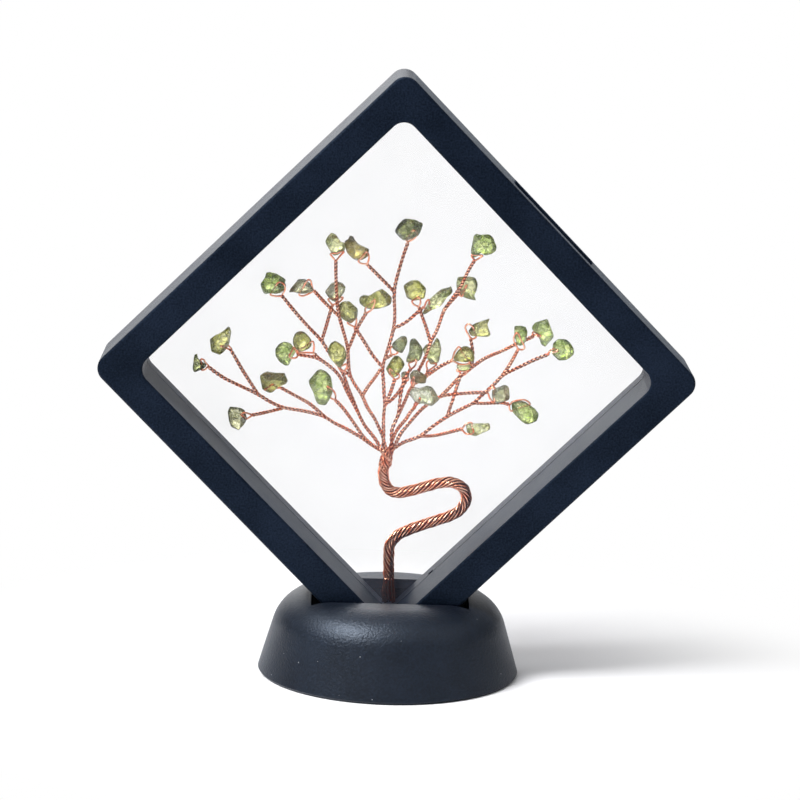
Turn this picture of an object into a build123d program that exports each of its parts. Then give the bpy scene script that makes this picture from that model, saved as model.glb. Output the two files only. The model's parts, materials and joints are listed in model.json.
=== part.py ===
from build123d import *
import os
from math import atan2, cos, degrees, dist, radians, sin, sqrt, tan

# A gemstone tree in a see-through display case.
#
# The case is a square frame of two black halves. Each half carries a clear
# stretched film across its window, and the films hold a small tree between
# them. The tree is twisted copper wire with a drilled peridot chip at every
# twig's end. The case stands on one corner, in the slot of a round black base.
#
# Lengths are millimetres. The origin is the middle of the base's underside,
# +Z is up, and the side seen in the photograph faces -Y.

# The case
case_side = 90.0
case_depth = 20.0
window_side = 76.6
case_corner_radius = 3.2
window_corner_radius = 3.0
case_arris = 0.6
window_arris = 0.5
film_from_front = 14.5
seam_from_front = 8.4
case_gap = 0.1
skirt_wall = 2.0
skirt_gap = 0.15

# The opening notch in the middle of the edge away from the hinge
tab_length = 23.6
tab_rise = 0.45
notch_depth = 0.9
notch_height = 2.6
pry_notch_size = 1.4
pry_notch_px = (430, 573)

# The hinge on the lower left edge
hinge_axis_out = 0.4
hinge_barrel_radius = 1.4
hinge_pin_radius = 0.6
hinge_pin_clearance = 0.05
hinge_pocket_clearance = 0.2
hinge_knuckle_length = 4.0
hinge_knuckle_gap = 0.15
hinge_place_shares = [-0.09, 0.31]

# The films
film_thickness = 0.15
film_lap = 2.4
film_cells = 16
film_clearance = 0.15
film_sample_step = 0.8
film_rounds = 120
film_rim_share = 0.985
film_corner_share = 0.965

# The base
base_radius = 28.0
base_height = 17.3
base_top_radius = 22.9
base_shoulder_radius = 9.0
base_wall = 2.0
base_foot_chamfer = 0.6
slot_floor_height = 2.16
slot_seat_gap = 0.1
slot_side_gap = 0.3
slot_draft_gap = 0.7
slot_half_length = 16.7
slot_end_depth = 2.7

# The wire tree
wire_width = 0.4
pair_width = 0.84
twig_width = 0.8
rope_width = 2.4
rope_crown_radius = 2.1
wire_clearance = 0.08
layer_gap = 0.06
least_turn = 2.5
bend_share = 0.45
knuckle_share = 1.08
tip_share = 1.06

# The chips' depth as a share of their mean width, and the size of their
# flatter front and back as shares of the outline
chip_depth_share = 0.5
chip_front_share = 0.62
chip_back_share = 0.55

cut_over = 1.0

# Sizes that follow from those above
half_side = case_side / 2
half_window = window_side / 2
front_face = case_depth / 2
film_level = front_face - film_from_front
seam_level = front_face - seam_from_front
tongue_half = half_side - skirt_wall - skirt_gap
case_middle_height = slot_floor_height + half_side * sqrt(2)
film_y = -film_level
layer_step = pair_width + layer_gap

# The case is drawn flat: x towards the upper right edge, y towards the upper
# left edge, z towards the viewer. This plane then stands it on its corner.
case_plane = Plane(origin=(0, 0, case_middle_height), x_dir=(1, 0, 1), z_dir=(0, -1, 0))

# Where the photograph was taken from, to place what it shows. The distances
# are shares of the case's side, the angles are degrees.
view_across_share = -0.110
view_back_share = -7.493
view_up_share = 2.084
view_yaw = 0.922
view_pitch = -10.795
view_roll = 1.725
view_focus_px = 3247
photo_middle_px = 400


def view_directions():
    """The photograph's right, up and ahead directions."""
    yaw, pitch, roll = radians(view_yaw), radians(view_pitch), radians(view_roll)
    ahead = Vector(sin(yaw) * cos(pitch), cos(yaw) * cos(pitch), sin(pitch))
    level = Vector(cos(yaw), -sin(yaw), 0)
    upright = level.cross(ahead)
    right = level * cos(roll) + upright * sin(roll)
    up = upright * cos(roll) - level * sin(roll)
    return right, up, ahead


view_right, view_up, view_ahead = view_directions()
view_spot = Vector(view_across_share, view_back_share, view_up_share) * case_side


def seen(point_px, layer=0.0, extra=0.0):
    """The place of a pixel on a layer of the tree. Layer 0 is between the films."""
    across = (point_px[0] - photo_middle_px) / view_focus_px
    rise = (photo_middle_px - point_px[1]) / view_focus_px
    ray = view_ahead + view_right * across + view_up * rise
    depth = film_y + layer * layer_step + extra
    return view_spot + ray * ((depth - view_spot.Y) / ray.Y)


# The routes of the wire pairs: pixels, with the layer that each passes in.
# Layers count away from the viewer. The first run of a branch starts in the
# trunk's crown, the others start on a run of the same branch.
branches = {
    "branch_far_left": [
        [(383.5, 453.5, 0.8), (370, 444, 1), (361, 437, 1), (345, 428, 1), (334, 423, 0.7), (324, 416, 0.5),
         (309, 412, 0.5), (299, 410, 0.5), (283.5, 408, 0.5), (269, 401.5, 0.5), (258, 394, 0.5),
         (234, 383, 0.5), (220, 376, 0.5), (207.8, 366.3, 0.5)],
        [(258, 394, 0.5), (244, 373, 0.5), (235.5, 358, 0.5), (230.3, 349, 0.5)],
        [(283.5, 408, 0.5), (262, 413.5, 0.5), (250.5, 415.3, 0.5)],
        [(324, 416, 0.5), (311, 404, 0.5), (299.5, 398, 0.5), (281, 387.8, 0.5)],
    ],
    "branch_left_single": [
        [(381.5, 456, -0.1), (372, 445, -0.1), (364, 438, -0.1), (359, 430.5, -0.1), (349, 416, 0),
         (341.5, 406, 0), (335.5, 400.5, 0)],
    ],
    "branch_left": [
        [(385, 455, 1), (378, 443, 1), (372, 434.5, 1), (364.5, 426, 1), (357.5, 411.5, 0.7),
         (354, 402, 0.7), (349, 391, 0.7), (346, 381.5, 0.8), (342, 371, 1), (335, 361, 1),
         (328.5, 352, 0.8), (321.8, 340.5, 0.5), (306.5, 325, 0.5), (295, 312, 0.5), (281.7, 295.5, 0.5)],
        [(357.5, 411.5, 0.7), (352, 401, -0.2), (346, 390, -0.5), (342, 380, -0.5), (336.5, 372, -0.5),
         (329.5, 366, -0.5), (318.5, 358, -0.5), (308, 356, -0.3), (297.8, 354.6, 0.1)],
        [(318.5, 358, -0.5), (313.8, 353.2, -0.7)],
        [(321.8, 340.5, 0.5), (326.3, 326, 0.6), (329.5, 314, 1), (332.4, 305.5, 1.2)],
    ],
    "branch_upper_left": [
        [(384, 455, -1), (383, 436.5, -1), (379, 428, -1), (374.5, 418, -1), (367, 407.5, -1),
         (362.5, 395.5, -0.8), (355, 385, -0.3), (350, 376, 0.2), (348.4, 366, 0.3), (348, 349, 0.3),
         (345.3, 338, 0.1), (338.7, 316, -0.5), (337, 301, -1.3), (335.8, 278, -1.0), (335.8, 260.5, -0.5)],
        [(338.7, 316, -0.5), (325.5, 304, -0.5), (314.3, 291, -0.3)],
        [(348, 349, 0.3), (351.5, 342, 0), (355.7, 330, -0.7), (366, 313.2, -0.7)],
        [(350, 376, 0.2), (346.5, 373.5, -0.7), (344.6, 371.5, -1.1)],
        [(362.5, 395.5, -0.8), (368.3, 385.5, -0.7), (374.5, 378.5, -0.8), (380.5, 369, -1)],
    ],
    "branch_middle": [
        [(386.5, 455, 0), (383.7, 435, 0), (383.2, 418, 0), (385, 404.3, 0), (384, 395, 0),
         (383.6, 383, 0), (382, 366.8, 0), (388, 349, 0), (394, 328, 0), (395, 313.6, 0),
         (393.6, 291, 0), (398, 273, 0), (404.6, 251.5, 0), (408, 242.3, 0)],
        [(382, 366.8, 0), (372, 355, 0.2), (364.5, 342, 0.5), (357.5, 331.5, 0.7), (355.2, 328.2, 0.7)],
        [(393.6, 291, 0), (384.7, 282, 0), (374.8, 272, 0), (367.4, 264.6, 0)],
        [(394, 328, 0), (399.6, 326, 0), (408, 321, 0.3), (416, 313.6, 0.6), (423.3, 307.5, 0.7)],
        [(384.6, 359, 0), (391.3, 355.2, 0)],
        [(385, 404.3, 0), (387.5, 399.5, -0.3), (391.7, 389.5, -0.6), (394.5, 380, -0.6)],
        [(385, 404.3, 0), (389.6, 402, 0.3), (396.6, 395, 0.9), (401.5, 388, 1.3), (405.3, 381.8, 1.5)],
    ],
    "branch_upper_right": [
        [(388.5, 455, -1), (391, 431, -1), (394.5, 423, -1), (398.3, 415.5, -0.8), (400, 398.7, -0.6),
         (401.5, 389.6, -0.4), (403.6, 381, -0.3), (408, 372.5, -0.2), (411, 368.6, 0)],
        [(398.3, 415.5, -0.8), (405, 401, 0.3), (408.5, 392.5, 0.9), (414, 384, 1.3), (418.3, 370.5, 1.1),
         (422.5, 363, 0.6), (426.5, 354.5, -0.3), (430.3, 341.8, -0.8), (437.5, 330, -0.7), (443.2, 311, -0.5),
         (450, 302, -0.7), (460, 288, -1.2), (464, 280, -1.3), (469, 269, -1), (475, 259.8, -0.6)],
        [(430.3, 341.8, -0.8), (427, 329.5, -0.7), (421, 313.6, -0.7), (419, 307.3, -0.7)],
        [(443.2, 311, -0.5), (451.5, 301, 0.3), (459.2, 293, 0.9)],
        [(414, 384, 1.3), (426, 376.5, 1.5), (432.4, 371.5, 1.1), (442, 365, 0.2), (451.6, 360.8, -0.6)],
        [(426, 376.5, 1.5), (428.2, 370, 1.7)],
        [(408.5, 392.5, 0.9), (410.3, 389.2, -0.2), (412.6, 386.3, -1.4)],
    ],
    "branch_centre_single": [
        [(390.5, 452, 0.9), (394.5, 434, 1), (398.7, 427, 0.7), (405.7, 419.7, 0.5), (410, 412, 0), (415, 406.8, -0.5)],
    ],
    "branch_right": [
        [(393, 455, -1), (400, 434, -0.7), (405.7, 427.5, -0.4), (411.5, 420.5, 0.3), (418.3, 412.7, 1),
         (424.6, 406.5, 1.5), (433, 400.5, 1.7), (441.5, 395.5, 1.2), (456, 394, 0.9), (475.7, 392.4, 0),
         (488.3, 392.4, -0.6)],
        [(441.5, 395.5, 1.2), (449, 388.4, 1.1), (458, 378, 1.1), (466, 372.5, 0.9), (474, 365.5, 0.4),
         (486.4, 357, 0.3), (502.5, 351, 0.5), (514, 345, 1.2), (521, 341.5, 1.4), (528.5, 338.8, 0.8),
         (533.8, 335.8, 0.3)],
        [(466, 372.5, 0.9), (471.5, 366, 1.5), (473, 355, 1.7), (471.9, 345.5, 1), (470.4, 338, 0.2)],
    ],
    "branch_low_right": [
        [(392, 454.5, 0.2), (403, 442, 0), (412.4, 439.3, 0), (421, 436, 0), (431.6, 427, 0), (447, 416.6, 0),
         (456, 411.6, 0), (466.8, 406.3, 0), (474, 403, 0), (480, 397, 0.4), (488, 390, 1), (495.4, 383, 1),
         (502.5, 375, 0.4), (513, 370, 0), (525.7, 364, 0), (538, 358, 0), (548.5, 354.4, 0)],
        [(421, 436, 0), (431.6, 436.5, 0), (446, 433, 0), (461, 429.2, 0)],
        [(447, 416.6, 0), (450.7, 405.4, -0.3), (453.4, 398, -0.5), (457, 385.7, -0.3), (459.5, 378, -0.3),
         (461, 374, -0.1)],
        [(474, 403, 0), (484.6, 403.6, 0.5), (498, 402.7, 1), (506, 403, 0.5), (510, 405.2, 0)],
        [(502.5, 375, 0.4), (506, 370.5, 0.2), (510.5, 363.4, 0), (515, 355.4, -0.3), (518, 349.5, -0.5)],
    ],
}

# The chips, in the order of the twigs that carry them: the outline, the two
# ends of the drilled hole with -1 in front, 0 at the rim and 1 behind, the
# twig's tip where the wire splits, and the layer.
chips = {
    "branch_far_left": [
        dict(outline=[(196, 350), (198, 358), (202, 361.5), (206, 364.5), (205, 367.5), (200.5, 370.5),
                      (194.5, 372.4), (192.7, 368), (193.6, 360)],
             hole=[(200.8, 359.6, -1), (201.5, 369.8, 0)], tip=(207.8, 366.3), layer=0.5),
        dict(outline=[(229, 326.5), (233, 331), (231.3, 337.6), (228.5, 345), (224.3, 351), (218.7, 355.2),
                      (213, 353), (209.2, 346.8), (209.5, 341), (215, 335.5), (223, 331)],
             hole=[(220.5, 346, -1), (228, 345.6, 0)], tip=(230.3, 349), layer=0.5),
        dict(outline=[(236, 406), (241, 407), (244.6, 411), (246.6, 418), (242.5, 425.4), (236.6, 431.7),
                      (232, 428), (227.5, 419.7), (227.1, 410.6), (230.6, 406.8)],
             hole=[(241, 414.5, -1), (246, 419, 0)], tip=(250.5, 415.3), layer=0.5),
        dict(outline=[(267, 371), (276.2, 372.6), (285.4, 374), (288.9, 379), (286, 384), (278.3, 386.8),
                      (270.3, 392.7), (260.8, 387.5), (257.3, 381), (260.8, 374.8)],
             hole=[(272, 384.5, -1), (265, 389.6, 0)], tip=(281, 387.8), layer=0.5),
    ],
    "branch_left_single": [
        dict(outline=[(320, 370), (326, 371.7), (330.4, 377), (331.6, 385), (331.4, 392.3), (328.5, 398.5),
                      (325.4, 403), (321.6, 404.2), (317, 400.7), (314, 392), (310, 385), (309, 379), (313, 373)],
             hole=[(327.5, 386.5, -1), (330.3, 396.5, 0)], tip=(335.5, 400.5), layer=0),
    ],
    "branch_left": [
        dict(outline=[(271, 271.4), (278, 275.6), (284.4, 280.5), (284, 285), (282, 291), (273, 293),
                      (265, 293.4), (259.4, 287), (265, 279)],
             hole=[(278, 282.5, -1), (270.5, 294, 0)], tip=(281.7, 295.5), layer=0.5),
        dict(outline=[(284, 343), (289.5, 344), (292.5, 347.5), (294.5, 352), (291.8, 357), (288.7, 364),
                      (285, 364.8), (279.5, 361), (276.5, 355.6), (276.5, 349.5), (279.5, 345.3)],
             hole=[(289, 356.5, -1), (293.6, 347.4, 0)], tip=(297.8, 354.6), layer=0.1),
        dict(outline=[(301, 331.5), (306.3, 333.4), (310.9, 339.5), (311.2, 346), (303.3, 350.8), (299.5, 351),
                      (294.8, 345.7), (290.6, 338), (294, 333.4)],
             hole=[(312, 341.5, 0), (297.4, 350.4, 0)], tip=(313.8, 353.2), layer=-0.7),
        dict(outline=[(333, 283), (344, 282.2), (345.8, 285.5), (343.7, 295.5), (338, 300.5), (329.6, 301),
                      (326.3, 295.5), (325.5, 291)],
             hole=[(328.3, 299, 0), (343, 297.6, 0)], tip=(332.4, 305.5), layer=1.2),
    ],
    "branch_upper_left": [
        dict(outline=[(332, 233), (343, 244.5), (344.2, 250.5), (336.3, 258), (331, 253.5), (326.7, 243),
                      (328.4, 236.6)],
             hole=[(330.6, 253.8, 0), (344, 251.6, 0)], tip=(335.8, 260.5), layer=-0.5),
        dict(outline=[(290, 292), (289.4, 288), (292.3, 281.4), (299, 278), (308.5, 279), (311.8, 284.7),
                      (311.4, 289.7), (304.8, 293.6), (296.5, 293)],
             hole=[(306.5, 281.5, -1), (299, 294.2, 0)], tip=(314.3, 291), layer=-0.3),
        dict(outline=[(359, 302), (358.6, 298), (362.3, 295.4), (373, 293), (384, 289.2), (389.7, 293),
                      (390.4, 299.6), (387, 305.4), (378, 308.3), (368, 307.4)],
             hole=[(374.8, 299.5, -1), (366.5, 307, 0)], tip=(366, 313.2), layer=-0.7),
        dict(outline=[(331.6, 341.4), (337.7, 342.6), (343.6, 347.2), (345.8, 354), (346, 361.5), (342.5, 366.8),
                      (337.7, 365.5), (330, 357), (327.9, 346)],
             hole=[(339, 367, 0), (346.4, 364, 0)], tip=(344.6, 371.5), layer=-1.2),
    ],
    "branch_middle": [
        dict(outline=[(406.7, 218.7), (423.7, 222), (424.5, 226.6), (417, 235.7), (411, 239.6), (402, 238.4),
                      (394.2, 231.6), (399.6, 225.8)],
             hole=[(413, 230.5, -1), (405.5, 239.2, 0)], tip=(408, 242.3), layer=0),
        dict(outline=[(348, 301.3), (352, 303.8), (357.8, 313), (354.5, 320.4), (351.2, 323.7), (344.6, 318.7),
                      (338.9, 312), (342, 304.6)],
             hole=[(356, 318, 0), (347.5, 322.4, 0)], tip=(355.2, 328.2), layer=0.7),
        dict(outline=[(351.6, 233.3), (354.4, 241.8), (360, 245.8), (370.3, 251.5), (368, 256), (359.5, 260.5),
                      (352, 256.5), (347.5, 249), (346.2, 242.6), (349.5, 239.4)],
             hole=[(366, 252.3, -1), (358.5, 261.2, 0)], tip=(367.4, 264.6), layer=0),
        dict(outline=[(453, 286.3), (453.4, 289.6), (445, 298.7), (433, 307.8), (426, 312.6), (424.4, 310.5),
                      (428.7, 301.2), (435.3, 293), (443.6, 288)],
             hole=[(428.8, 299.8, -1), (430.5, 309.2, 0)], tip=(423.3, 307.5), layer=0.7),
        dict(outline=[(402.2, 334.8), (406, 337.6), (406.8, 342.5), (405, 348.6), (402, 353), (397.3, 351.4),
                      (391.9, 348), (392, 343.2), (396, 340.4), (398.7, 336.2)],
             hole=[(391.4, 346.5, 0), (397.8, 352, 0)], tip=(391.3, 355.2), layer=0),
        dict(outline=[(396, 355.4), (403.8, 357.8), (404.6, 363), (403, 369.4), (398.7, 375), (394.5, 376.8),
                      (389, 375), (385.9, 368.5), (388.2, 363), (392.4, 358.7)],
             hole=[(389.5, 369, -1), (399.3, 375, 0)], tip=(394.5, 380), layer=-0.6),
        dict(outline=[(404.3, 371), (408, 372.7), (409.2, 376.9), (404.8, 378.6), (401, 376.6), (401.6, 372.5)],
             hole=[(402, 378.2, 0), (408.6, 378, 0)], tip=(405.3, 381.8), layer=1.5),
    ],
    "branch_upper_right": [
        dict(outline=[(412.7, 336), (417, 339.7), (421, 346), (422.4, 351.7), (420.6, 358.2), (416, 362.6),
                      (412.7, 364.2), (407.2, 362), (407, 358), (409, 351.7), (410, 341.8)],
             hole=[(416.5, 360, -1), (408.8, 363.2, 0)], tip=(411, 368.6), layer=0),
        dict(outline=[(475.6, 233.3), (487.2, 235.8), (495.9, 243.2), (493.8, 250.7), (486.4, 254), (475, 256.3),
                      (470.5, 250.7), (473, 241)],
             hole=[(471.8, 255, 0), (482.8, 255.5, 0)], tip=(475, 259.8), layer=-0.6),
        dict(outline=[(415.4, 280.5), (423.7, 283), (425.7, 289.6), (423.7, 298), (417, 302.6), (408.7, 298),
                      (403.8, 289.6), (406.7, 283)],
             hole=[(418.5, 297, -1), (412, 301, 0)], tip=(419, 307.3), layer=-0.7),
        dict(outline=[(459, 274.7), (464, 278), (471.4, 277.2), (476.2, 281.4), (476.6, 289.7), (474.7, 295.5),
                      (475.2, 302), (473, 302.9), (464.8, 297), (456.6, 287.2)],
             hole=[(467, 284.5, -1), (462.5, 296, 0)], tip=(459.2, 293), layer=0.9),
        dict(outline=[(461.4, 346.4), (470.5, 346.6), (475.4, 353.6), (475.8, 359.8), (471.5, 361.8),
                      (462.3, 362), (454, 360), (456.5, 353.6)],
             hole=[(459.6, 347.2, 0), (469.5, 362.6, 0)], tip=(451.6, 360.8), layer=-0.6),
        dict(outline=[(424, 345), (432.4, 344), (436.6, 338), (440.8, 342), (441.4, 348.2), (438, 362.2),
                      (434.5, 364.6), (430.3, 363), (427, 357), (423.6, 350.5)],
             hole=[(428.2, 361, 0), (436.6, 364.2, 0)], tip=(428.2, 370), layer=1.7),
        dict(outline=[(410.4, 371.6), (417, 371), (424.6, 375), (428.5, 379.8), (426.5, 382.4), (421.5, 383.4),
                      (416.9, 382.4), (411.6, 380)],
             hole=[(414, 377, -1), (411.2, 381.2, 0)], tip=(412.6, 386.3), layer=-1.4),
    ],
    "branch_centre_single": [
        dict(outline=[(414, 387.5), (420, 388.5), (429, 385.6), (435, 390.8), (440.2, 396), (439, 400),
                      (433.6, 406), (426, 403.6), (421.8, 402.2), (417, 403.4), (412, 399.4), (411, 393)],
             hole=[(420.5, 398, -1), (415.5, 403, 0)], tip=(415, 406.8), layer=-0.6),
    ],
    "branch_right": [
        dict(outline=[(506, 384.8), (508.6, 386.6), (509.4, 400), (504.3, 401.4), (497.1, 403.6), (493.6, 400.6),
                      (490.6, 394.6), (491.6, 389.4), (500.7, 386.6)],
             hole=[(494.6, 387.4, 0), (494.2, 402, 0)], tip=(488.3, 392.4), layer=-0.6),
        dict(outline=[(539.4, 318), (546.9, 320.3), (550.2, 328.6), (552.7, 336), (551.6, 342), (545.4, 346.9),
                      (540.9, 343.8), (539.4, 339), (535.5, 333), (530.6, 327.8), (533, 322)],
             hole=[(541, 336, -1), (534, 331.8, 0)], tip=(533.8, 335.8), layer=0.3),
        dict(outline=[(488.8, 319), (487.2, 324.5), (490.3, 334), (487.2, 336.6), (472, 335.4), (468.8, 328.8),
                      (475, 323.7)],
             hole=[(473, 327, -1), (476, 337, 0)], tip=(470.4, 338), layer=0.2),
    ],
    "branch_low_right": [
        dict(outline=[(558.4, 339.8), (566.6, 339.8), (572.4, 345.6), (572.6, 353.6), (567, 359.6), (558.6, 359.8),
                      (552.6, 354), (552.4, 345.6)],
             hole=[(558, 351, -1), (553.4, 348.6, 0)], tip=(548.5, 354.4), layer=0),
        dict(outline=[(467, 425.4), (473, 423.6), (490, 423.4), (493.4, 426), (490, 429), (479.3, 433.6),
                      (472.1, 436.4), (468.6, 433)],
             hole=[(471.5, 422.8, 0), (473.5, 433, -1)], tip=(461, 429.2), layer=0),
        dict(outline=[(456.2, 364.6), (462.3, 364), (469.6, 364.2), (470.8, 368), (462.3, 371.6), (457, 369.4)],
             hole=[(457, 371, 0), (466.5, 371, 0)], tip=(461, 374), layer=-0.1),
        dict(outline=[(512.4, 403.6), (518.6, 401.2), (526, 403), (534.6, 408.6), (538.7, 415.2), (536.4, 421.4),
                      (527.5, 423.7), (520.4, 420.5), (513.6, 412.5)],
             hole=[(530, 404.4, 0), (512.4, 411, 0)], tip=(510, 405.2), layer=0),
        dict(outline=[(515.4, 326), (524.5, 325.3), (527.4, 330), (527.4, 338.4), (525.7, 345.6), (522, 347.4),
                      (517.7, 344), (514.7, 336)],
             hole=[(517.7, 333, -1), (524.5, 347, 0)], tip=(518, 349.5), layer=-0.5),
    ],
}

# The trunk: where the rope bends, and where it opens out at its foot
trunk_route_px = [
    (387, 459), (383.8, 466), (383, 477), (386.5, 488), (395.5, 493.5), (410, 491), (424, 487), (438, 483),
    (452, 481.5), (463.5, 487), (467.5, 498), (462, 509.5), (449.5, 516.5), (431, 522), (410, 529),
    (397, 535), (389.5, 544), (388.5, 556), (388.8, 579),
]
trunk_crown_px = (387.3, 448)
tails_middle_px = (388.4, 592)
tails_foot_px = (389.6, 599.6)
tails_middle_shares = [0.6, 0.3]
tails_foot_shares = [0.42, 0.04]


def standing(shape):
    """Stand a piece of the case, drawn flat, on its corner."""
    return case_plane.location * shape


def slab(half, low, high, corner):
    """A square plate with round corners, between two levels of the flat drawing."""
    plate = Box(half * 2, half * 2, high - low, align=(Align.CENTER, Align.CENTER, Align.MIN))
    plate = fillet(plate.edges().filter_by(Axis.Z), corner)
    return Pos(0, 0, low) * plate


def block(low, high):
    """A box between two opposite corners."""
    size = [b - a for a, b in zip(low, high)]
    return Pos(*low) * Box(*size, align=(Align.MIN, Align.MIN, Align.MIN))


def edges_at(shape, level):
    """The edges that lie at one level of the flat drawing."""
    return shape.edges().filter_by_position(Axis.Z, level - case_gap / 2, level + case_gap / 2)


hinge_x = -half_side - hinge_axis_out
hinge_z = film_level
hinge_half_length = hinge_knuckle_length * 1.5 + hinge_knuckle_gap


def hinge_barrel(place, length, radius):
    """A round along the hinge's axis, its middle at a place on the edge."""
    barrel = Cylinder(radius, length)
    return Pos(hinge_x, place, hinge_z) * Rot(90, 0, 0) * barrel


def knuckle_web(place, upward):
    """The web that ties a knuckle to its own half of the case."""
    reach = hinge_barrel_radius + hinge_pocket_clearance * 2
    half = hinge_knuckle_length / 2
    low = (hinge_x, place - half, hinge_z if upward else hinge_z - reach)
    high = (hinge_x + reach, place + half, hinge_z + reach if upward else hinge_z)
    return block(low, high)


def knuckle_places(station):
    """The places of the three knuckles of one hinge: front, back, back."""
    step = hinge_knuckle_length + hinge_knuckle_gap
    return station, station - step, station + step


hinge_stations = [share * case_side for share in hinge_place_shares]


def with_hinge(half_case, upward):
    """Cut the hinge's pockets in one half and add the knuckles that it carries."""
    pocket = hinge_barrel_radius + hinge_pocket_clearance
    bore = hinge_pin_radius + hinge_pin_clearance
    for station in hinge_stations:
        half_case -= hinge_barrel(station, (hinge_half_length + hinge_pocket_clearance) * 2, pocket)
        front, below, above = knuckle_places(station)
        own = [front] if upward else [below, above]
        for place in own:
            half_case += hinge_barrel(place, hinge_knuckle_length, hinge_barrel_radius)
            half_case += knuckle_web(place, upward)
        half_case -= hinge_barrel(station, (hinge_half_length + cut_over) * 2, bore)
    return half_case


def make_front_frame():
    """The front half: the deep face ring and the tongue that goes inside the skirt."""
    ring = slab(half_side, seam_level + case_gap, front_face, case_corner_radius)
    ring = fillet(edges_at(ring, front_face), case_arris)
    tongue_low = film_level + film_thickness + case_gap / 2
    tongue = slab(half_side, tongue_low, seam_level + case_gap, case_corner_radius)
    room = block((-half_side - cut_over, -tongue_half, tongue_low - cut_over),
                 (tongue_half, tongue_half, seam_level + cut_over))
    window = slab(half_window, tongue_low - cut_over, front_face + cut_over, window_corner_radius)
    frame = ring + (tongue & room) - window
    frame = fillet(inner_edges(frame, front_face), window_arris)
    notch = block((half_side - notch_depth, -tab_length / 2, seam_level - cut_over),
                  (half_side + cut_over, tab_length / 2, seam_level + case_gap + notch_height))
    return with_hinge(frame - notch, True)


def inner_edges(frame, level):
    """The window's edges at one level."""
    limit = half_window + window_corner_radius / 2
    inside = []
    for edge in edges_at(frame, level):
        middle = edge.center()
        if abs(middle.X) < limit and abs(middle.Y) < limit:
            inside.append(edge)
    return inside


def make_back_frame():
    """The back half: the shallow back ring, the skirt round the tongue and the tab."""
    ledge = film_level - film_thickness - case_gap / 2
    body = slab(half_side, -front_face, seam_level, case_corner_radius)
    body = fillet(edges_at(body, -front_face), case_arris)
    room = block((-half_side - cut_over, -tongue_half - skirt_gap, ledge),
                 (tongue_half + skirt_gap, tongue_half + skirt_gap, seam_level + cut_over))
    window = slab(half_window, -front_face - cut_over, seam_level + cut_over, window_corner_radius)
    body = body - room - window
    body = fillet(inner_edges(body, -front_face), window_arris)
    tab = block((half_side - skirt_wall / 2, -tab_length / 2, seam_level - notch_height),
                (half_side + tab_rise, tab_length / 2, seam_level))
    spot = case_plane.to_local_coords(seen(pry_notch_px))
    pry = block((spot.X - pry_notch_size / 2, -half_window - pry_notch_size, ledge - pry_notch_size),
                (spot.X + pry_notch_size / 2, -half_window + cut_over, ledge + cut_over))
    return with_hinge(body + tab - pry, False)


def make_hinge_pin(station):
    """One pin, the length of its hinge."""
    return hinge_barrel(station, hinge_half_length * 2, hinge_pin_radius)


def spread_over(triangle):
    """Points all over a triangle, about a sample's step apart."""
    first, second, third = triangle
    longest = max(dist(first, second), dist(second, third), dist(third, first))
    parts = 1 + int(longest / film_sample_step)
    found = []
    for along in range(parts + 1):
        for across in range(parts + 1 - along):
            shares = (parts - along - across, along, across)
            found.append([sum(share * corner[axis] for share, corner in zip(shares, triangle)) / parts
                          for axis in range(3)])
    return found


def tree_tops(pieces, side):
    """The tree's highest points over the seam, one for each small square of the flat drawing."""
    tops = {}
    for piece in pieces:
        corners, triangles = piece.tessellate(film_clearance)
        corners = [tuple(case_plane.to_local_coords(corner)) for corner in corners]
        for triangle in triangles:
            for x, y, z in spread_over([corners[index] for index in triangle]):
                square = (int(x // film_sample_step), int(y // film_sample_step))
                height = side * (z - film_level) + film_clearance
                if height > tops.get(square, (x, y, 0))[2]:
                    tops[square] = (x, y, height)
    return list(tops.values())


def film_spot(column, row):
    """Where a corner of the film's grid lies in the flat drawing."""
    at_corner = column in (0, film_cells) and row in (0, film_cells)
    reach = half_window * (film_corner_share if at_corner else film_rim_share)
    return reach * (2 * column / film_cells - 1), reach * (2 * row / film_cells - 1)


def corner_shares(x, y):
    """The three corners of the facet over a spot, and how much each one carries it."""
    reach = half_window * film_rim_share
    column, row = [min(max((place + reach) / (2 * reach), 0), 0.999) * film_cells for place in (x, y)]
    near = (int(column), int(row))
    far = (near[0] + 1, near[1] + 1)
    across, along = column - near[0], row - near[1]
    if across > along:
        return [(near, 1 - across), ((far[0], near[1]), across - along), (far, along)]
    return [(near, 1 - along), ((near[0], far[1]), along - across), (far, across)]


def film_heights(pieces, side):
    """How far the film stands out at each corner of its grid, drawn tight over the tree."""
    heights = {(column, row): 0.0 for column in range(film_cells + 1) for row in range(film_cells + 1)}
    inner = [spot for spot in heights if 0 < min(spot) and max(spot) < film_cells]
    tops = []
    for x, y, height in tree_tops(pieces, side):
        carriers = [(spot, share) for spot, share in corner_shares(x, y) if spot in inner]
        if carriers:
            tops.append((carriers, height))
    for _ in range(film_rounds):
        for column, row in inner:
            around = [(column - 1, row), (column + 1, row), (column, row - 1), (column, row + 1)]
            heights[column, row] = sum(heights[spot] for spot in around) / len(around)
        for carriers, height in tops:
            missing = height - sum(heights[spot] * share for spot, share in carriers)
            if missing > 0:
                weight = sum(share * share for spot, share in carriers)
                for spot, share in carriers:
                    heights[spot] += missing * share / weight
    return heights


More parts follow.
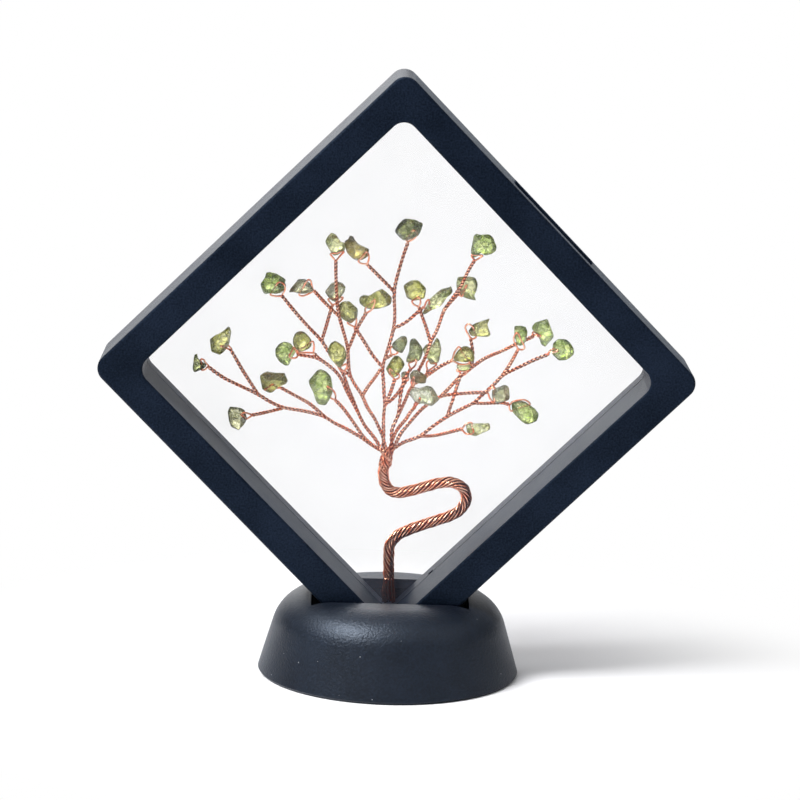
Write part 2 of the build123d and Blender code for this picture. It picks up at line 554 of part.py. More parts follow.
def make_film(side, pieces):
    """A film: its clamped rim, and inside it facets that are drawn over the tree. Side 1 is the front."""
    rim_level = film_level + side * case_gap / 2
    low, high = sorted([rim_level, rim_level + side * film_thickness])
    rim = slab(half_window + film_lap, low, high, window_corner_radius)
    heights = film_heights(pieces, side)
    skins = []
    for lift in (0, film_thickness):
        skins.append({spot: Vector(*film_spot(*spot), rim_level + side * (height + lift))
                      for spot, height in heights.items()})
    faces = []
    for column in range(film_cells):
        for row in range(film_cells):
            near, far = (column, row), (column + 1, row + 1)
            for middle in ((column + 1, row), (column, row + 1)):
                for skin in skins:
                    faces.append(make_face(Polyline(skin[near], skin[middle], skin[far], close=True)))
    edge = [(column, 0) for column in range(film_cells)]
    edge += [(film_cells, row) for row in range(film_cells)]
    edge += [(film_cells - column, film_cells) for column in range(film_cells)]
    edge += [(0, film_cells - row) for row in range(film_cells)]
    for spot, after in zip(edge, edge[1:] + edge[:1]):
        wall = [skins[0][spot], skins[0][after], skins[1][after], skins[1][spot]]
        faces.append(make_face(Polyline(*wall, close=True)))
    tent = Solid(Shell([face.face() for face in faces]))
    opening = extrude(make_face(Polyline(*[skins[0][spot] for spot in edge], close=True)),
                      film_thickness, both=True)
    return (rim - opening).fuse(tent)


def make_base():
    """The base's shell and, inside it, the box of the slot that holds the case."""
    dome = Cone(base_radius, base_top_radius, base_height, align=(Align.CENTER, Align.CENTER, Align.MIN))
    rim_edges = dome.edges().filter_by(GeomType.CIRCLE).sort_by(Axis.Z)
    dome = fillet(rim_edges[-1], base_shoulder_radius)
    foot = dome.edges().filter_by(GeomType.CIRCLE).sort_by(Axis.Z)[0]
    dome = chamfer(foot, base_foot_chamfer)
    hollow = Cone(base_radius - base_wall, base_top_radius - base_wall, base_height - base_wall,
                  align=(Align.CENTER, Align.CENTER, Align.MIN))
    top_edge = hollow.edges().filter_by(GeomType.CIRCLE).sort_by(Axis.Z)[-1]
    hollow = fillet(top_edge, base_shoulder_radius - base_wall)
    slot = slot_room(0, 0)
    slot_walls = slot_room(base_wall, base_wall)
    shell = dome - hollow - slot
    slot_box = (slot_walls & hollow) - slot
    return shell, slot_box


def slot_room(grow, side_grow):
    """The slot's inside, or with a growth the outside of its walls."""
    lean = grow * sqrt(2)
    apex = slot_floor_height - slot_seat_gap * sqrt(2)
    floor = max(apex - lean, 0)
    foot = floor - apex + lean
    ledge = base_height - slot_end_depth - grow
    ledge_half = ledge - apex + lean
    end = slot_half_length + grow
    top = base_height + cut_over
    half = case_depth / 2 + slot_side_gap + side_grow
    side = [(foot, floor), (ledge_half, ledge), (end, ledge), (end, top)]
    low = half
    high = half + slot_draft_gap * (top - floor) / base_height
    outline = side + [(-x, z) for x, z in reversed(side)]
    if foot == 0:
        outline = outline[:-1]
    prism = extrude(make_face(Polyline(*[(x, 0, z) for x, z in outline], close=True)), high, both=True)
    wedge_points = [(-low, floor), (low, floor), (high, top), (-high, top)]
    wedge_face = make_face(Polyline(*[(0, y, z) for y, z in wedge_points], close=True))
    wedge = extrude(wedge_face, end, both=True)
    return prism & wedge


def run_radii(points):
    """The radius of the arc at each inner point of a route."""
    radii = []
    for before, point, after in zip(points, points[1:], points[2:]):
        turn = radians((point - before).get_angle(after - point))
        shorter = min((point - before).length, (after - point).length)
        radii.append(bend_share * shorter / tan(turn / 2))
    return radii


def without_straight_points(points):
    """A route without the points that hardly turn it."""
    kept = [points[0]]
    for point, after in zip(points[1:], points[2:]):
        if (point - kept[-1]).get_angle(after - point) > least_turn:
            kept.append(point)
    return kept + [points[-1]]


def tube(points, width):
    """A round rod along straight runs joined by tangent arcs."""
    points = without_straight_points(points)
    if len(points) == 2:
        path = Line(*points)
    else:
        path = FilletPolyline(*points, radius=run_radii(points))
    profile = Plane(origin=path @ 0, z_dir=path % 0) * Circle(width / 2)
    return sweep(profile, path=path)


def rod(start, end, radius):
    """A straight round rod from one point to another."""
    along = end - start
    plane = Plane(origin=start, z_dir=along)
    return plane.location * Cylinder(radius, along.length, align=(Align.CENTER, Align.CENTER, Align.MIN))


def ball(middle, radius):
    """A ball round a point."""
    return Pos(*middle) * Sphere(radius)


def chip_depth(chip):
    """How thick a chip is, front to back."""
    wide = [point[0] for point in chip["outline"]]
    high = [point[1] for point in chip["outline"]]
    low_corner = seen((min(wide), max(high)))
    high_corner = seen((max(wide), min(high)))
    spread = high_corner - low_corner
    return chip_depth_share * (spread.X + spread.Z) / 2


def loop_points(chip):
    """The twig's tip and the two ends of the drilled hole."""
    reach = chip_depth(chip) / 2 + wire_width
    tip = seen(chip["tip"], chip["layer"])
    ends = [seen((x, y), chip["layer"], side * reach) for x, y, side in chip["hole"]]
    return tip, ends[0], ends[1]


def wire_loop(chip, spare):
    """The wire that goes out along one side, through the chip and back."""
    radius = wire_width / 2 + spare
    tip, first, second = loop_points(chip)
    pieces = [rod(tip, first, radius), rod(first, second, radius), rod(second, tip, radius)]
    pieces += [ball(first, radius * knuckle_share), ball(second, radius * knuckle_share)]
    return pieces


def twist_end(chip, spare):
    """The last turn of the twist, where the two wires part round the chip."""
    tip, first, second = loop_points(chip)
    way = ((first + second) / 2 - tip).normalized() * wire_width / 2
    return rod(tip - way, tip + way, pair_width / 2 * tip_share + spare)


def make_chip(chip):
    """A drilled pebble with flatter front and back."""
    depth = chip_depth(chip)
    rim = [seen(point, chip["layer"]) for point in chip["outline"]]
    middle = sum(rim, Vector(0, 0, 0)) / len(rim)
    wires = []
    for share, offset in [(chip_front_share, -depth / 2), (1, 0), (chip_back_share, depth / 2)]:
        shift = Vector(0, offset, 0)
        section = [middle + (point - middle) * share + shift for point in rim]
        wires.append(Wire.make_polygon(section, close=True))
    pebble = Solid.make_loft(wires, ruled=True)
    cutters = wire_loop(chip, wire_clearance) + [twist_end(chip, wire_clearance)]
    return Part() + pebble - cutters


def make_crown():
    """Where the rope opens out into the branches."""
    top = seen(trunk_crown_px)
    foot = seen(trunk_route_px[0])
    cone = Solid.make_cone(rope_width / 2, rope_crown_radius, (top - foot).Z,
                           Plane(origin=Vector(top.X, foot.Y, foot.Z)))
    return Part() + cone


def make_branch(name, crown):
    """A branch: its runs of twisted pair and the loops that hold its chips."""
    pieces = []
    for index, run in enumerate(branches[name]):
        points = [seen((x, y), layer) for x, y, layer in run]
        pieces.append(tube(points, twig_width if index else pair_width))
    for chip in chips[name]:
        pieces.append(twist_end(chip, 0))
        pieces += wire_loop(chip, 0)
    return (Part() + pieces) - crown


def make_trunk(crown):
    """The rope of all the wires, bent like a small trunk."""
    route = [seen(point) for point in trunk_route_px]
    return tube(route, rope_width) + crown


def make_tails(trunk):
    """The loose ends of the wires, spread flat in the case's lowest corner."""
    top = seen(trunk_route_px[-1])
    sections = [Plane(origin=top, z_dir=(0, 0, 1)) * Circle(rope_width / 2)]
    for point_px, shares in [(tails_middle_px, tails_middle_shares), (tails_foot_px, tails_foot_shares)]:
        wide, deep = [share * rope_width for share in shares]
        sections.append(Plane(origin=seen(point_px), z_dir=(0, 0, 1)) * Ellipse(wide, deep))
    return loft(sections, ruled=True) - trunk


def save(shape, name):
    """Write one node and say what it is made of."""
    shape.label = name
    export_step(shape, os.path.join("parts", name + ".step"))
    print(name, len(shape.solids()), "solids", round(shape.volume, 3), "mm3")


os.makedirs("parts", exist_ok=True)

base_shell, base_slot_box = make_base()
save(base_shell, "base_shell")
save(base_slot_box, "base_slot_box")
save(standing(make_front_frame()), "front_frame")
save(standing(make_back_frame()), "back_frame")
for pin_name, pin_station in zip(["hinge_pin_lower", "hinge_pin_upper"], hinge_stations):
    save(standing(make_hinge_pin(pin_station)), pin_name)

trunk_crown = make_crown()
trunk_rope = make_trunk(trunk_crown)
tree = {"trunk_rope": trunk_rope, "trunk_tails": make_tails(trunk_rope)}
chip_count = 0
for branch_name in branches:
    tree[branch_name] = make_branch(branch_name, trunk_crown)
    for chip_data in chips[branch_name]:
        chip_count += 1
        tree[f"peridot_chip_{chip_count:02d}"] = make_chip(chip_data)
for piece_name, piece in tree.items():
    save(piece, piece_name)
save(standing(make_film(1, tree.values())), "front_film")
save(standing(make_film(-1, tree.values())), "back_film")
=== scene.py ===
# %% [markdown]
# # A gemstone tree between two films
#
# The real object is a small souvenir. A tree of twisted copper wire, with a
# drilled chip of green peridot on every twig, hangs between two clear films in
# a black square case, and the case stands on its corner in a round base.
#
# The frame that is loaded here is the engineer's model: it has the real sizes
# and it knows how the case lifts out of the base and opens. This script dresses
# it. Hard plastic parts keep their solids and get a better finish. Wire, stones
# and films are made again here, because their look is in small shapes: the twist
# of a wire, the soft edge of a tumbled stone, a film drawn tight over both.

# %% Load the model
import json
import math

import bpy
import numpy as np
from mathutils import Matrix, Vector

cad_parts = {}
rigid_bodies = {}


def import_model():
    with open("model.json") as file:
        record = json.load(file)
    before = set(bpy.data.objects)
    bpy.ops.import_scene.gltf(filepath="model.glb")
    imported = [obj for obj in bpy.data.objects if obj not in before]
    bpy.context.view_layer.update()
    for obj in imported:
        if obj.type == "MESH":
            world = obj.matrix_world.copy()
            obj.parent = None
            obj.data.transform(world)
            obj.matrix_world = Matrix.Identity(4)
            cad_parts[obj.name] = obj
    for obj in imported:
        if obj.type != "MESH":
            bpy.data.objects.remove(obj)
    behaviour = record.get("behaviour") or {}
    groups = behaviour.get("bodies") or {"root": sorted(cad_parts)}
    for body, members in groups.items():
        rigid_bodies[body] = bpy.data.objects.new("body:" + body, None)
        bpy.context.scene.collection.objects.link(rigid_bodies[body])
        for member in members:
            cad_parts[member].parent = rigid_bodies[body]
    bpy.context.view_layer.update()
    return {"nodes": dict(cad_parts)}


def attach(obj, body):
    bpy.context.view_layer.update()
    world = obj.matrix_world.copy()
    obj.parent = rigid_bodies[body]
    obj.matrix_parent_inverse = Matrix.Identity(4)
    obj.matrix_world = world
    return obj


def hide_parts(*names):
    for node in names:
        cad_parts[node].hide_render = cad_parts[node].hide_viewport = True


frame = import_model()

nodes = frame["nodes"]

# %% [markdown]
# ## Sizes
#
# Blender works in metres here, but wire and stones are easier to think of in
# millimetres, so all shapes are worked out in millimetres and scaled once, when
# a mesh is made. These are the same sizes that the engineer's model has.

# %% Sizes in millimetres
MM = 0.001
CASE_SIDE = 90.0
CASE_DEPTH = 20.0
WINDOW_SIDE = 76.6
FILM_FROM_FRONT = 14.5
SLOT_FLOOR = 2.16
WIRE = 0.4
LAYER = 0.9
ROPE = 2.4
CHIP_DEPTH_SHARE = 0.5

FILM_Y = FILM_FROM_FRONT - CASE_DEPTH / 2
CASE_MIDDLE = np.array([0, 0, SLOT_FLOOR + CASE_SIDE / math.sqrt(2)])
UPPER_RIGHT = np.array([1, 0, 1]) / math.sqrt(2)
UPPER_LEFT = np.array([-1, 0, 1]) / math.sqrt(2)
print("film level", FILM_Y, "case middle", CASE_MIDDLE.round(2))

# %% [markdown]
# ## The camera
#
# A photograph of a square shows where it was taken from: the far edges look
# shorter than the near ones. The camera's place, its three turns and its lens
# were fitted to the case's corners, and the same numbers turn a pixel back into
# a place on the tree. So the camera comes first, and the routes of the wires
# can be written as the pixels that they pass in an 800 by 800 picture.

# %% The camera
CAMERA = np.array([-9.9, -674.37, 187.56])
YAW, PITCH, ROLL = np.radians([0.922, -10.795, 1.725])
FOCUS_PX = 3247
PICTURE_PX = 800
SENSOR_MM = 36
SEES_TO = 20

ahead = np.array([math.sin(YAW) * math.cos(PITCH), math.cos(YAW) * math.cos(PITCH), math.sin(PITCH)])
level = np.array([math.cos(YAW), -math.sin(YAW), 0])
upright = np.cross(level, ahead)
right = level * math.cos(ROLL) + upright * math.sin(ROLL)
up = upright * math.cos(ROLL) - level * math.sin(ROLL)

camera = bpy.data.objects.new("camera", bpy.data.cameras.new("camera"))
camera.data.lens = FOCUS_PX / PICTURE_PX * SENSOR_MM
camera.data.sensor_width = SENSOR_MM
camera.data.clip_end = SEES_TO
turned = Matrix([[right[i], up[i], -ahead[i]] for i in range(3)]).to_4x4()
camera.matrix_world = Matrix.Translation(Vector(CAMERA * MM)) @ turned
bpy.context.scene.collection.objects.link(camera)
bpy.context.scene.camera = camera


def seen(point_px, layer=0.0, extra=0.0):
    """The place, in millimetres, of a pixel on one layer of the tree."""
    ray = (ahead + right * (point_px[0] - PICTURE_PX / 2) / FOCUS_PX
           + up * (PICTURE_PX / 2 - point_px[1]) / FOCUS_PX)
    depth = FILM_Y + layer * LAYER + extra
    return CAMERA + ray * (depth - CAMERA[1]) / ray[1]


print("lens", round(camera.data.lens, 1), "mm; the picture's middle is at", seen((400, 400)).round(1))

# %% [markdown]
# ## Studio
#
# Four soft lamps light the object. The strong one is high on the left, as in a
# shop's light tent, and gives the soft shadow. Weak ones above, on the right and
# behind keep the shadows open. The floor and the background come at the end.

# %% Lamps
scene = bpy.context.scene
scene.view_settings.view_transform = "Standard"


def lamp(name, place, size, power):
    """A soft square lamp that looks at the middle of the case."""
    light = bpy.data.lights.new(name, "AREA")
    light.size = size
    light.energy = power
    piece = bpy.data.objects.new(name, light)
    piece.location = place
    aim = Vector(CASE_MIDDLE * MM) - Vector(place)
    piece.rotation_mode = "QUATERNION"
    piece.rotation_quaternion = aim.to_track_quat("-Z", "Y")
    scene.collection.objects.link(piece)


lamp("lamp_main", (-0.50, -0.28, 0.82), 0.36, 14.0)
lamp("lamp_top", (-0.15, 0.30, 0.95), 0.6, 1.4)
lamp("lamp_right", (0.75, -0.30, 0.55), 0.5, 0.5)
lamp("lamp_back", (-0.2, 0.8, 0.6), 0.6, 1.5)

# %% [markdown]
# ## Shader maths as plain Python
#
# A material in Blender is a net of nodes. Written by hand it is long, so one
# small class wraps a node's output. Then `grain * 0.2 + 0.4` adds the two Math
# nodes by itself, and any other node comes from its `make` method.

# %% A socket that understands + - *
class Flow:
    """An output socket of a material's node tree, for use in Python sums."""

    def __init__(self, tree, plug=None):
        self.tree = tree
        self.plug = plug

    def make(self, kind, settings=None, inputs=None, output=0):
        """Any node: its type, its settings, and the values or links of its sockets."""
        node = self.tree.nodes.new(kind)
        for name, value in (settings or {}).items():
            setattr(node, name, value)
        for name, value in (inputs or {}).items():
            if isinstance(value, Flow):
                self.tree.links.new(value.plug, node.inputs[name])
            else:
                node.inputs[name].default_value = value
        return Flow(self.tree, node.outputs[output])

    def maths(self, operation, first, second=0.0):
        """A sum of two numbers, or of two vectors where either side is one."""
        wide = any(isinstance(side, Flow) and side.plug.type != "VALUE" for side in (first, second))
        kind = "ShaderNodeVectorMath" if wide else "ShaderNodeMath"
        sides = []
        for side in (first, second):
            sides.append((side, side, side) if wide and isinstance(side, (int, float)) else side)
        return self.make(kind, {"operation": operation}, {0: sides[0], 1: sides[1]})

    def __add__(self, other):
        return self.maths("ADD", self, other)

    def __sub__(self, other):
        return self.maths("SUBTRACT", self, other)

    def __rsub__(self, other):
        return self.maths("SUBTRACT", other, self)

    def __mul__(self, other):
        return self.maths("MULTIPLY", self, other)

    def blend(self, low, high):
        """A colour between two others, by this flow as the factor."""
        low, high = [side if isinstance(side, Flow) else (*side, 1) for side in (low, high)]
        return self.make("ShaderNodeMix", {"data_type": "RGBA"}, {0: self, 6: low, 7: high}, output=2)

    def within(self, low, high):
        """0 below low, 1 above high, and a smooth rise between them."""
        return self.make("ShaderNodeMapRange", {"interpolation_type": "SMOOTHSTEP"},
                         {"Value": self, "From Min": low, "From Max": high})


def finish_named(name):
    """A new material, its start flow and its shader node."""
    material = bpy.data.materials.new(name)
    material.use_nodes = True
    tree = material.node_tree
    return material, Flow(tree), tree.nodes["Principled BSDF"]


def place_on(flow):
    """The place on the piece, in metres of the model's own frame."""
    return flow.make("ShaderNodeTexCoord", output=3)


def noise(flow, place, size_mm, detail=2.0, output=0):
    """Soft noise whose blobs are about size_mm wide. Output 1 is its colour."""
    inputs = {"Vector": place, "Scale": 1 / (size_mm * MM), "Detail": detail}
    return flow.make("ShaderNodeTexNoise", None, inputs, output)


def cells(flow, place, size_mm, feature="F1", output=0):
    """Cells about size_mm wide: the distance to a middle or an edge, or one colour each."""
    inputs = {"Vector": place, "Scale": 1 / (size_mm * MM)}
    return flow.make("ShaderNodeTexVoronoi", {"feature": feature}, inputs, output)


def parts_of(flow, vector):
    """The X, Y and Z of a vector flow."""
    plugs = flow.make("ShaderNodeSeparateXYZ", None, {0: vector}).plug.node.outputs
    return [Flow(flow.tree, plug) for plug in plugs]


def to_upper_right(flow, place):
    """How far a place is from the origin, square to the case's upper right edge."""
    inputs = {0: place, 1: tuple(UPPER_RIGHT)}
    return flow.make("ShaderNodeVectorMath", {"operation": "DOT_PRODUCT"}, inputs, output=1)


def painted_shade_of(flow):
    """The painted shade that a mesh notes for each point: 1 is darkest, as deep between strands."""
    return flow.make("ShaderNodeAttribute", {"attribute_name": "painted_shade"}, output=2)


def kinds_of_ray(flow, *kinds):
    """A flow for each kind: 1 for the rays of that kind, 0 for others."""
    plugs = flow.make("ShaderNodeLightPath").plug.node.outputs
    return [Flow(flow.tree, plugs[kind]) for kind in kinds]


def feed(flow, shader, socket):
    """Lead a flow into one socket of the shader."""
    flow.tree.links.new(flow.plug, shader.inputs[socket])


def bump(flow, shader, height, depth_mm, strength=1.0):
    """Raise the surface by a height flow, depth_mm at most, in the shading only."""
    relief = {"Height": height, "Distance": depth_mm * MM, "Strength": strength}
    feed(flow.make("ShaderNodeBump", None, relief), shader, "Normal")


def hold(shader, **values):
    """Set sockets of the shader to constants. An underscore stands for a space."""
    for name, value in values.items():
        shader.inputs[name.replace("_", " ")].default_value = value


print("shader helpers are ready")

# %% [markdown]
# ## The wire's routes
#
# Every twig is a pair of wires twisted together. Its route is a short list of
# pixels, each with a layer: layers count away from the viewer, so that twigs
# which cross in the picture pass in front of each other and never meet. The
# first run of a branch leaves the trunk, the others leave a run of that branch.
# A point is written as across,down,layer. A layer that is left out is the last
# one, and a semicolon ends a run.

# %% Routes of the twisted pairs
routes = {
    "branch_far_left": """
    383.5,453.5,0.8 370,444,1 361,437 345,428 334,423,0.7 324,416,0.5 309,412 299,410 283.5,408 269,401.5 258,394
    234,383 220,376 207.8,366.3;
    258,394,0.5 244,373 235.5,358 230.3,349;
    283.5,408,0.5 262,413.5 250.5,415.3;
    324,416,0.5 311,404 299.5,398 281,387.8""",
    "branch_left_single": """
    381.5,456,-0.1 372,445 364,438 359,430.5 349,416,0 341.5,406 335.5,400.5""",
    "branch_left": """
    385,455,1 378,443 372,434.5 364.5,426 357.5,411.5,0.7 354,402 349,391 346,381.5,0.8 342,371,1 335,361
    328.5,352,0.8 321.8,340.5,0.5 306.5,325 295,312 281.7,295.5;
    357.5,411.5,0.7 352,401,-0.2 346,390,-0.5 342,380 336.5,372 329.5,366 318.5,358 308,356,-0.3 297.8,354.6,0.1;
    318.5,358,-0.5 313.8,353.2,-0.7;
    321.8,340.5,0.5 326.3,326,0.6 329.5,314,1 332.4,305.5,1.2""",
    "branch_upper_left": """
    384,455,-1 383,436.5 379,428 374.5,418 367,407.5 362.5,395.5,-0.8 355,385,-0.3 350,376,0.2 348.4,366,0.3
    348,349 345.3,338,0.1 338.7,316,-0.5 337,301,-1.3 335.8,278,-1 335.8,260.5,-0.5;
    338.7,316,-0.5 325.5,304 314.3,291,-0.3;
    348,349,0.3 351.5,342,0 355.7,330,-0.7 366,313.2;
    350,376,0.2 346.5,373.5,-0.7 344.6,371.5,-1.1;
    362.5,395.5,-0.8 368.3,385.5,-0.7 374.5,378.5,-0.8 380.5,369,-1""",
    "branch_middle": """
    386.5,455,0 383.7,435 383.2,418 385,404.3 384,395 383.6,383 382,366.8 388,349 394,328 395,313.6 393.6,291
    398,273 404.6,251.5 408,242.3;
    382,366.8,0 372,355,0.2 364.5,342,0.5 357.5,331.5,0.7 355.2,328.2;
    393.6,291,0 384.7,282 374.8,272 367.4,264.6;
    394,328,0 399.6,326 408,321,0.3 416,313.6,0.6 423.3,307.5,0.7;
    384.6,359,0 391.3,355.2;
    385,404.3,0 387.5,399.5,-0.3 391.7,389.5,-0.6 394.5,380;
    385,404.3,0 389.6,402,0.3 396.6,395,0.9 401.5,388,1.3 405.3,381.8,1.5""",
    "branch_upper_right": """
    388.5,455,-1 391,431 394.5,423 398.3,415.5,-0.8 400,398.7,-0.6 401.5,389.6,-0.4 403.6,381,-0.3 408,372.5,-0.2
    411,368.6,0;
    398.3,415.5,-0.8 405,401,0.3 408.5,392.5,0.9 414,384,1.3 418.3,370.5,1.1 422.5,363,0.6 426.5,354.5,-0.3
    430.3,341.8,-0.8 437.5,330,-0.7 443.2,311,-0.5 450,302,-0.7 460,288,-1.2 464,280,-1.3 469,269,-1
    475,259.8,-0.6;
    430.3,341.8,-0.8 427,329.5,-0.7 421,313.6 419,307.3;
    443.2,311,-0.5 451.5,301,0.3 459.2,293,0.9;
    414,384,1.3 426,376.5,1.5 432.4,371.5,1.1 442,365,0.2 451.6,360.8,-0.6;
    426,376.5,1.5 428.2,370,1.7;
    408.5,392.5,0.9 410.3,389.2,-0.2 412.6,386.3,-1.4""",
    "branch_centre_single": """
    390.5,452,0.9 394.5,434,1 398.7,427,0.7 405.7,419.7,0.5 410,412,0 415,406.8,-0.5""",
    "branch_right": """
    393,455,-1 400,434,-0.7 405.7,427.5,-0.4 411.5,420.5,0.3 418.3,412.7,1 424.6,406.5,1.5 433,400.5,1.7
    441.5,395.5,1.2 456,394,0.9 475.7,392.4,0 488.3,392.4,-0.6;
    441.5,395.5,1.2 449,388.4,1.1 458,378 466,372.5,0.9 474,365.5,0.4 486.4,357,0.3 502.5,351,0.5 514,345,1.2
    521,341.5,1.4 528.5,338.8,0.8 533.8,335.8,0.3;
    466,372.5,0.9 471.5,366,1.5 473,355,1.7 471.9,345.5,1 470.4,338,0.2""",
    "branch_low_right": """
    392,454.5,0.2 403,442,0 412.4,439.3 421,436 431.6,427 447,416.6 456,411.6 466.8,406.3 474,403 480,397,0.4
    488,390,1 495.4,383 502.5,375,0.4 513,370,0 525.7,364 538,358 548.5,354.4;
    421,436,0 431.6,436.5 446,433 461,429.2;
    447,416.6,0 450.7,405.4,-0.3 453.4,398,-0.5 457,385.7,-0.3 459.5,378 461,374,-0.1;
    474,403,0 484.6,403.6,0.5 498,402.7,1 506,403,0.5 510,405.2,0;
    502.5,375,0.4 506,370.5,0.2 510.5,363.4,0 515,355.4,-0.3 518,349.5,-0.5""",
}


def points_in(text):
    """The points of a line. A number that is left out is as in the point before."""
    found = []
    for point in text.split():
        numbers = [float(number) for number in point.split(",")]
        found.append((*numbers, *found[-1][len(numbers):]) if found else tuple(numbers))
    return found


branches = {name: [points_in(run) for run in text.split(";")] for name, text in routes.items()}
print("branches:", len(branches), "with", sum(len(runs) for runs in branches.values()), "twigs")

# %% [markdown]
# ## The stones' places
#
# A chip is written as its tint, its layer, the two ends of its drilled hole (-1
# in front, 0 at the rim), what each wire passes on its way to the hole, and last
# its outline. An empty line ends a chip. The chips follow the order of the twigs
# that hold them. Peridot of this grade runs from milky to brown in one string.

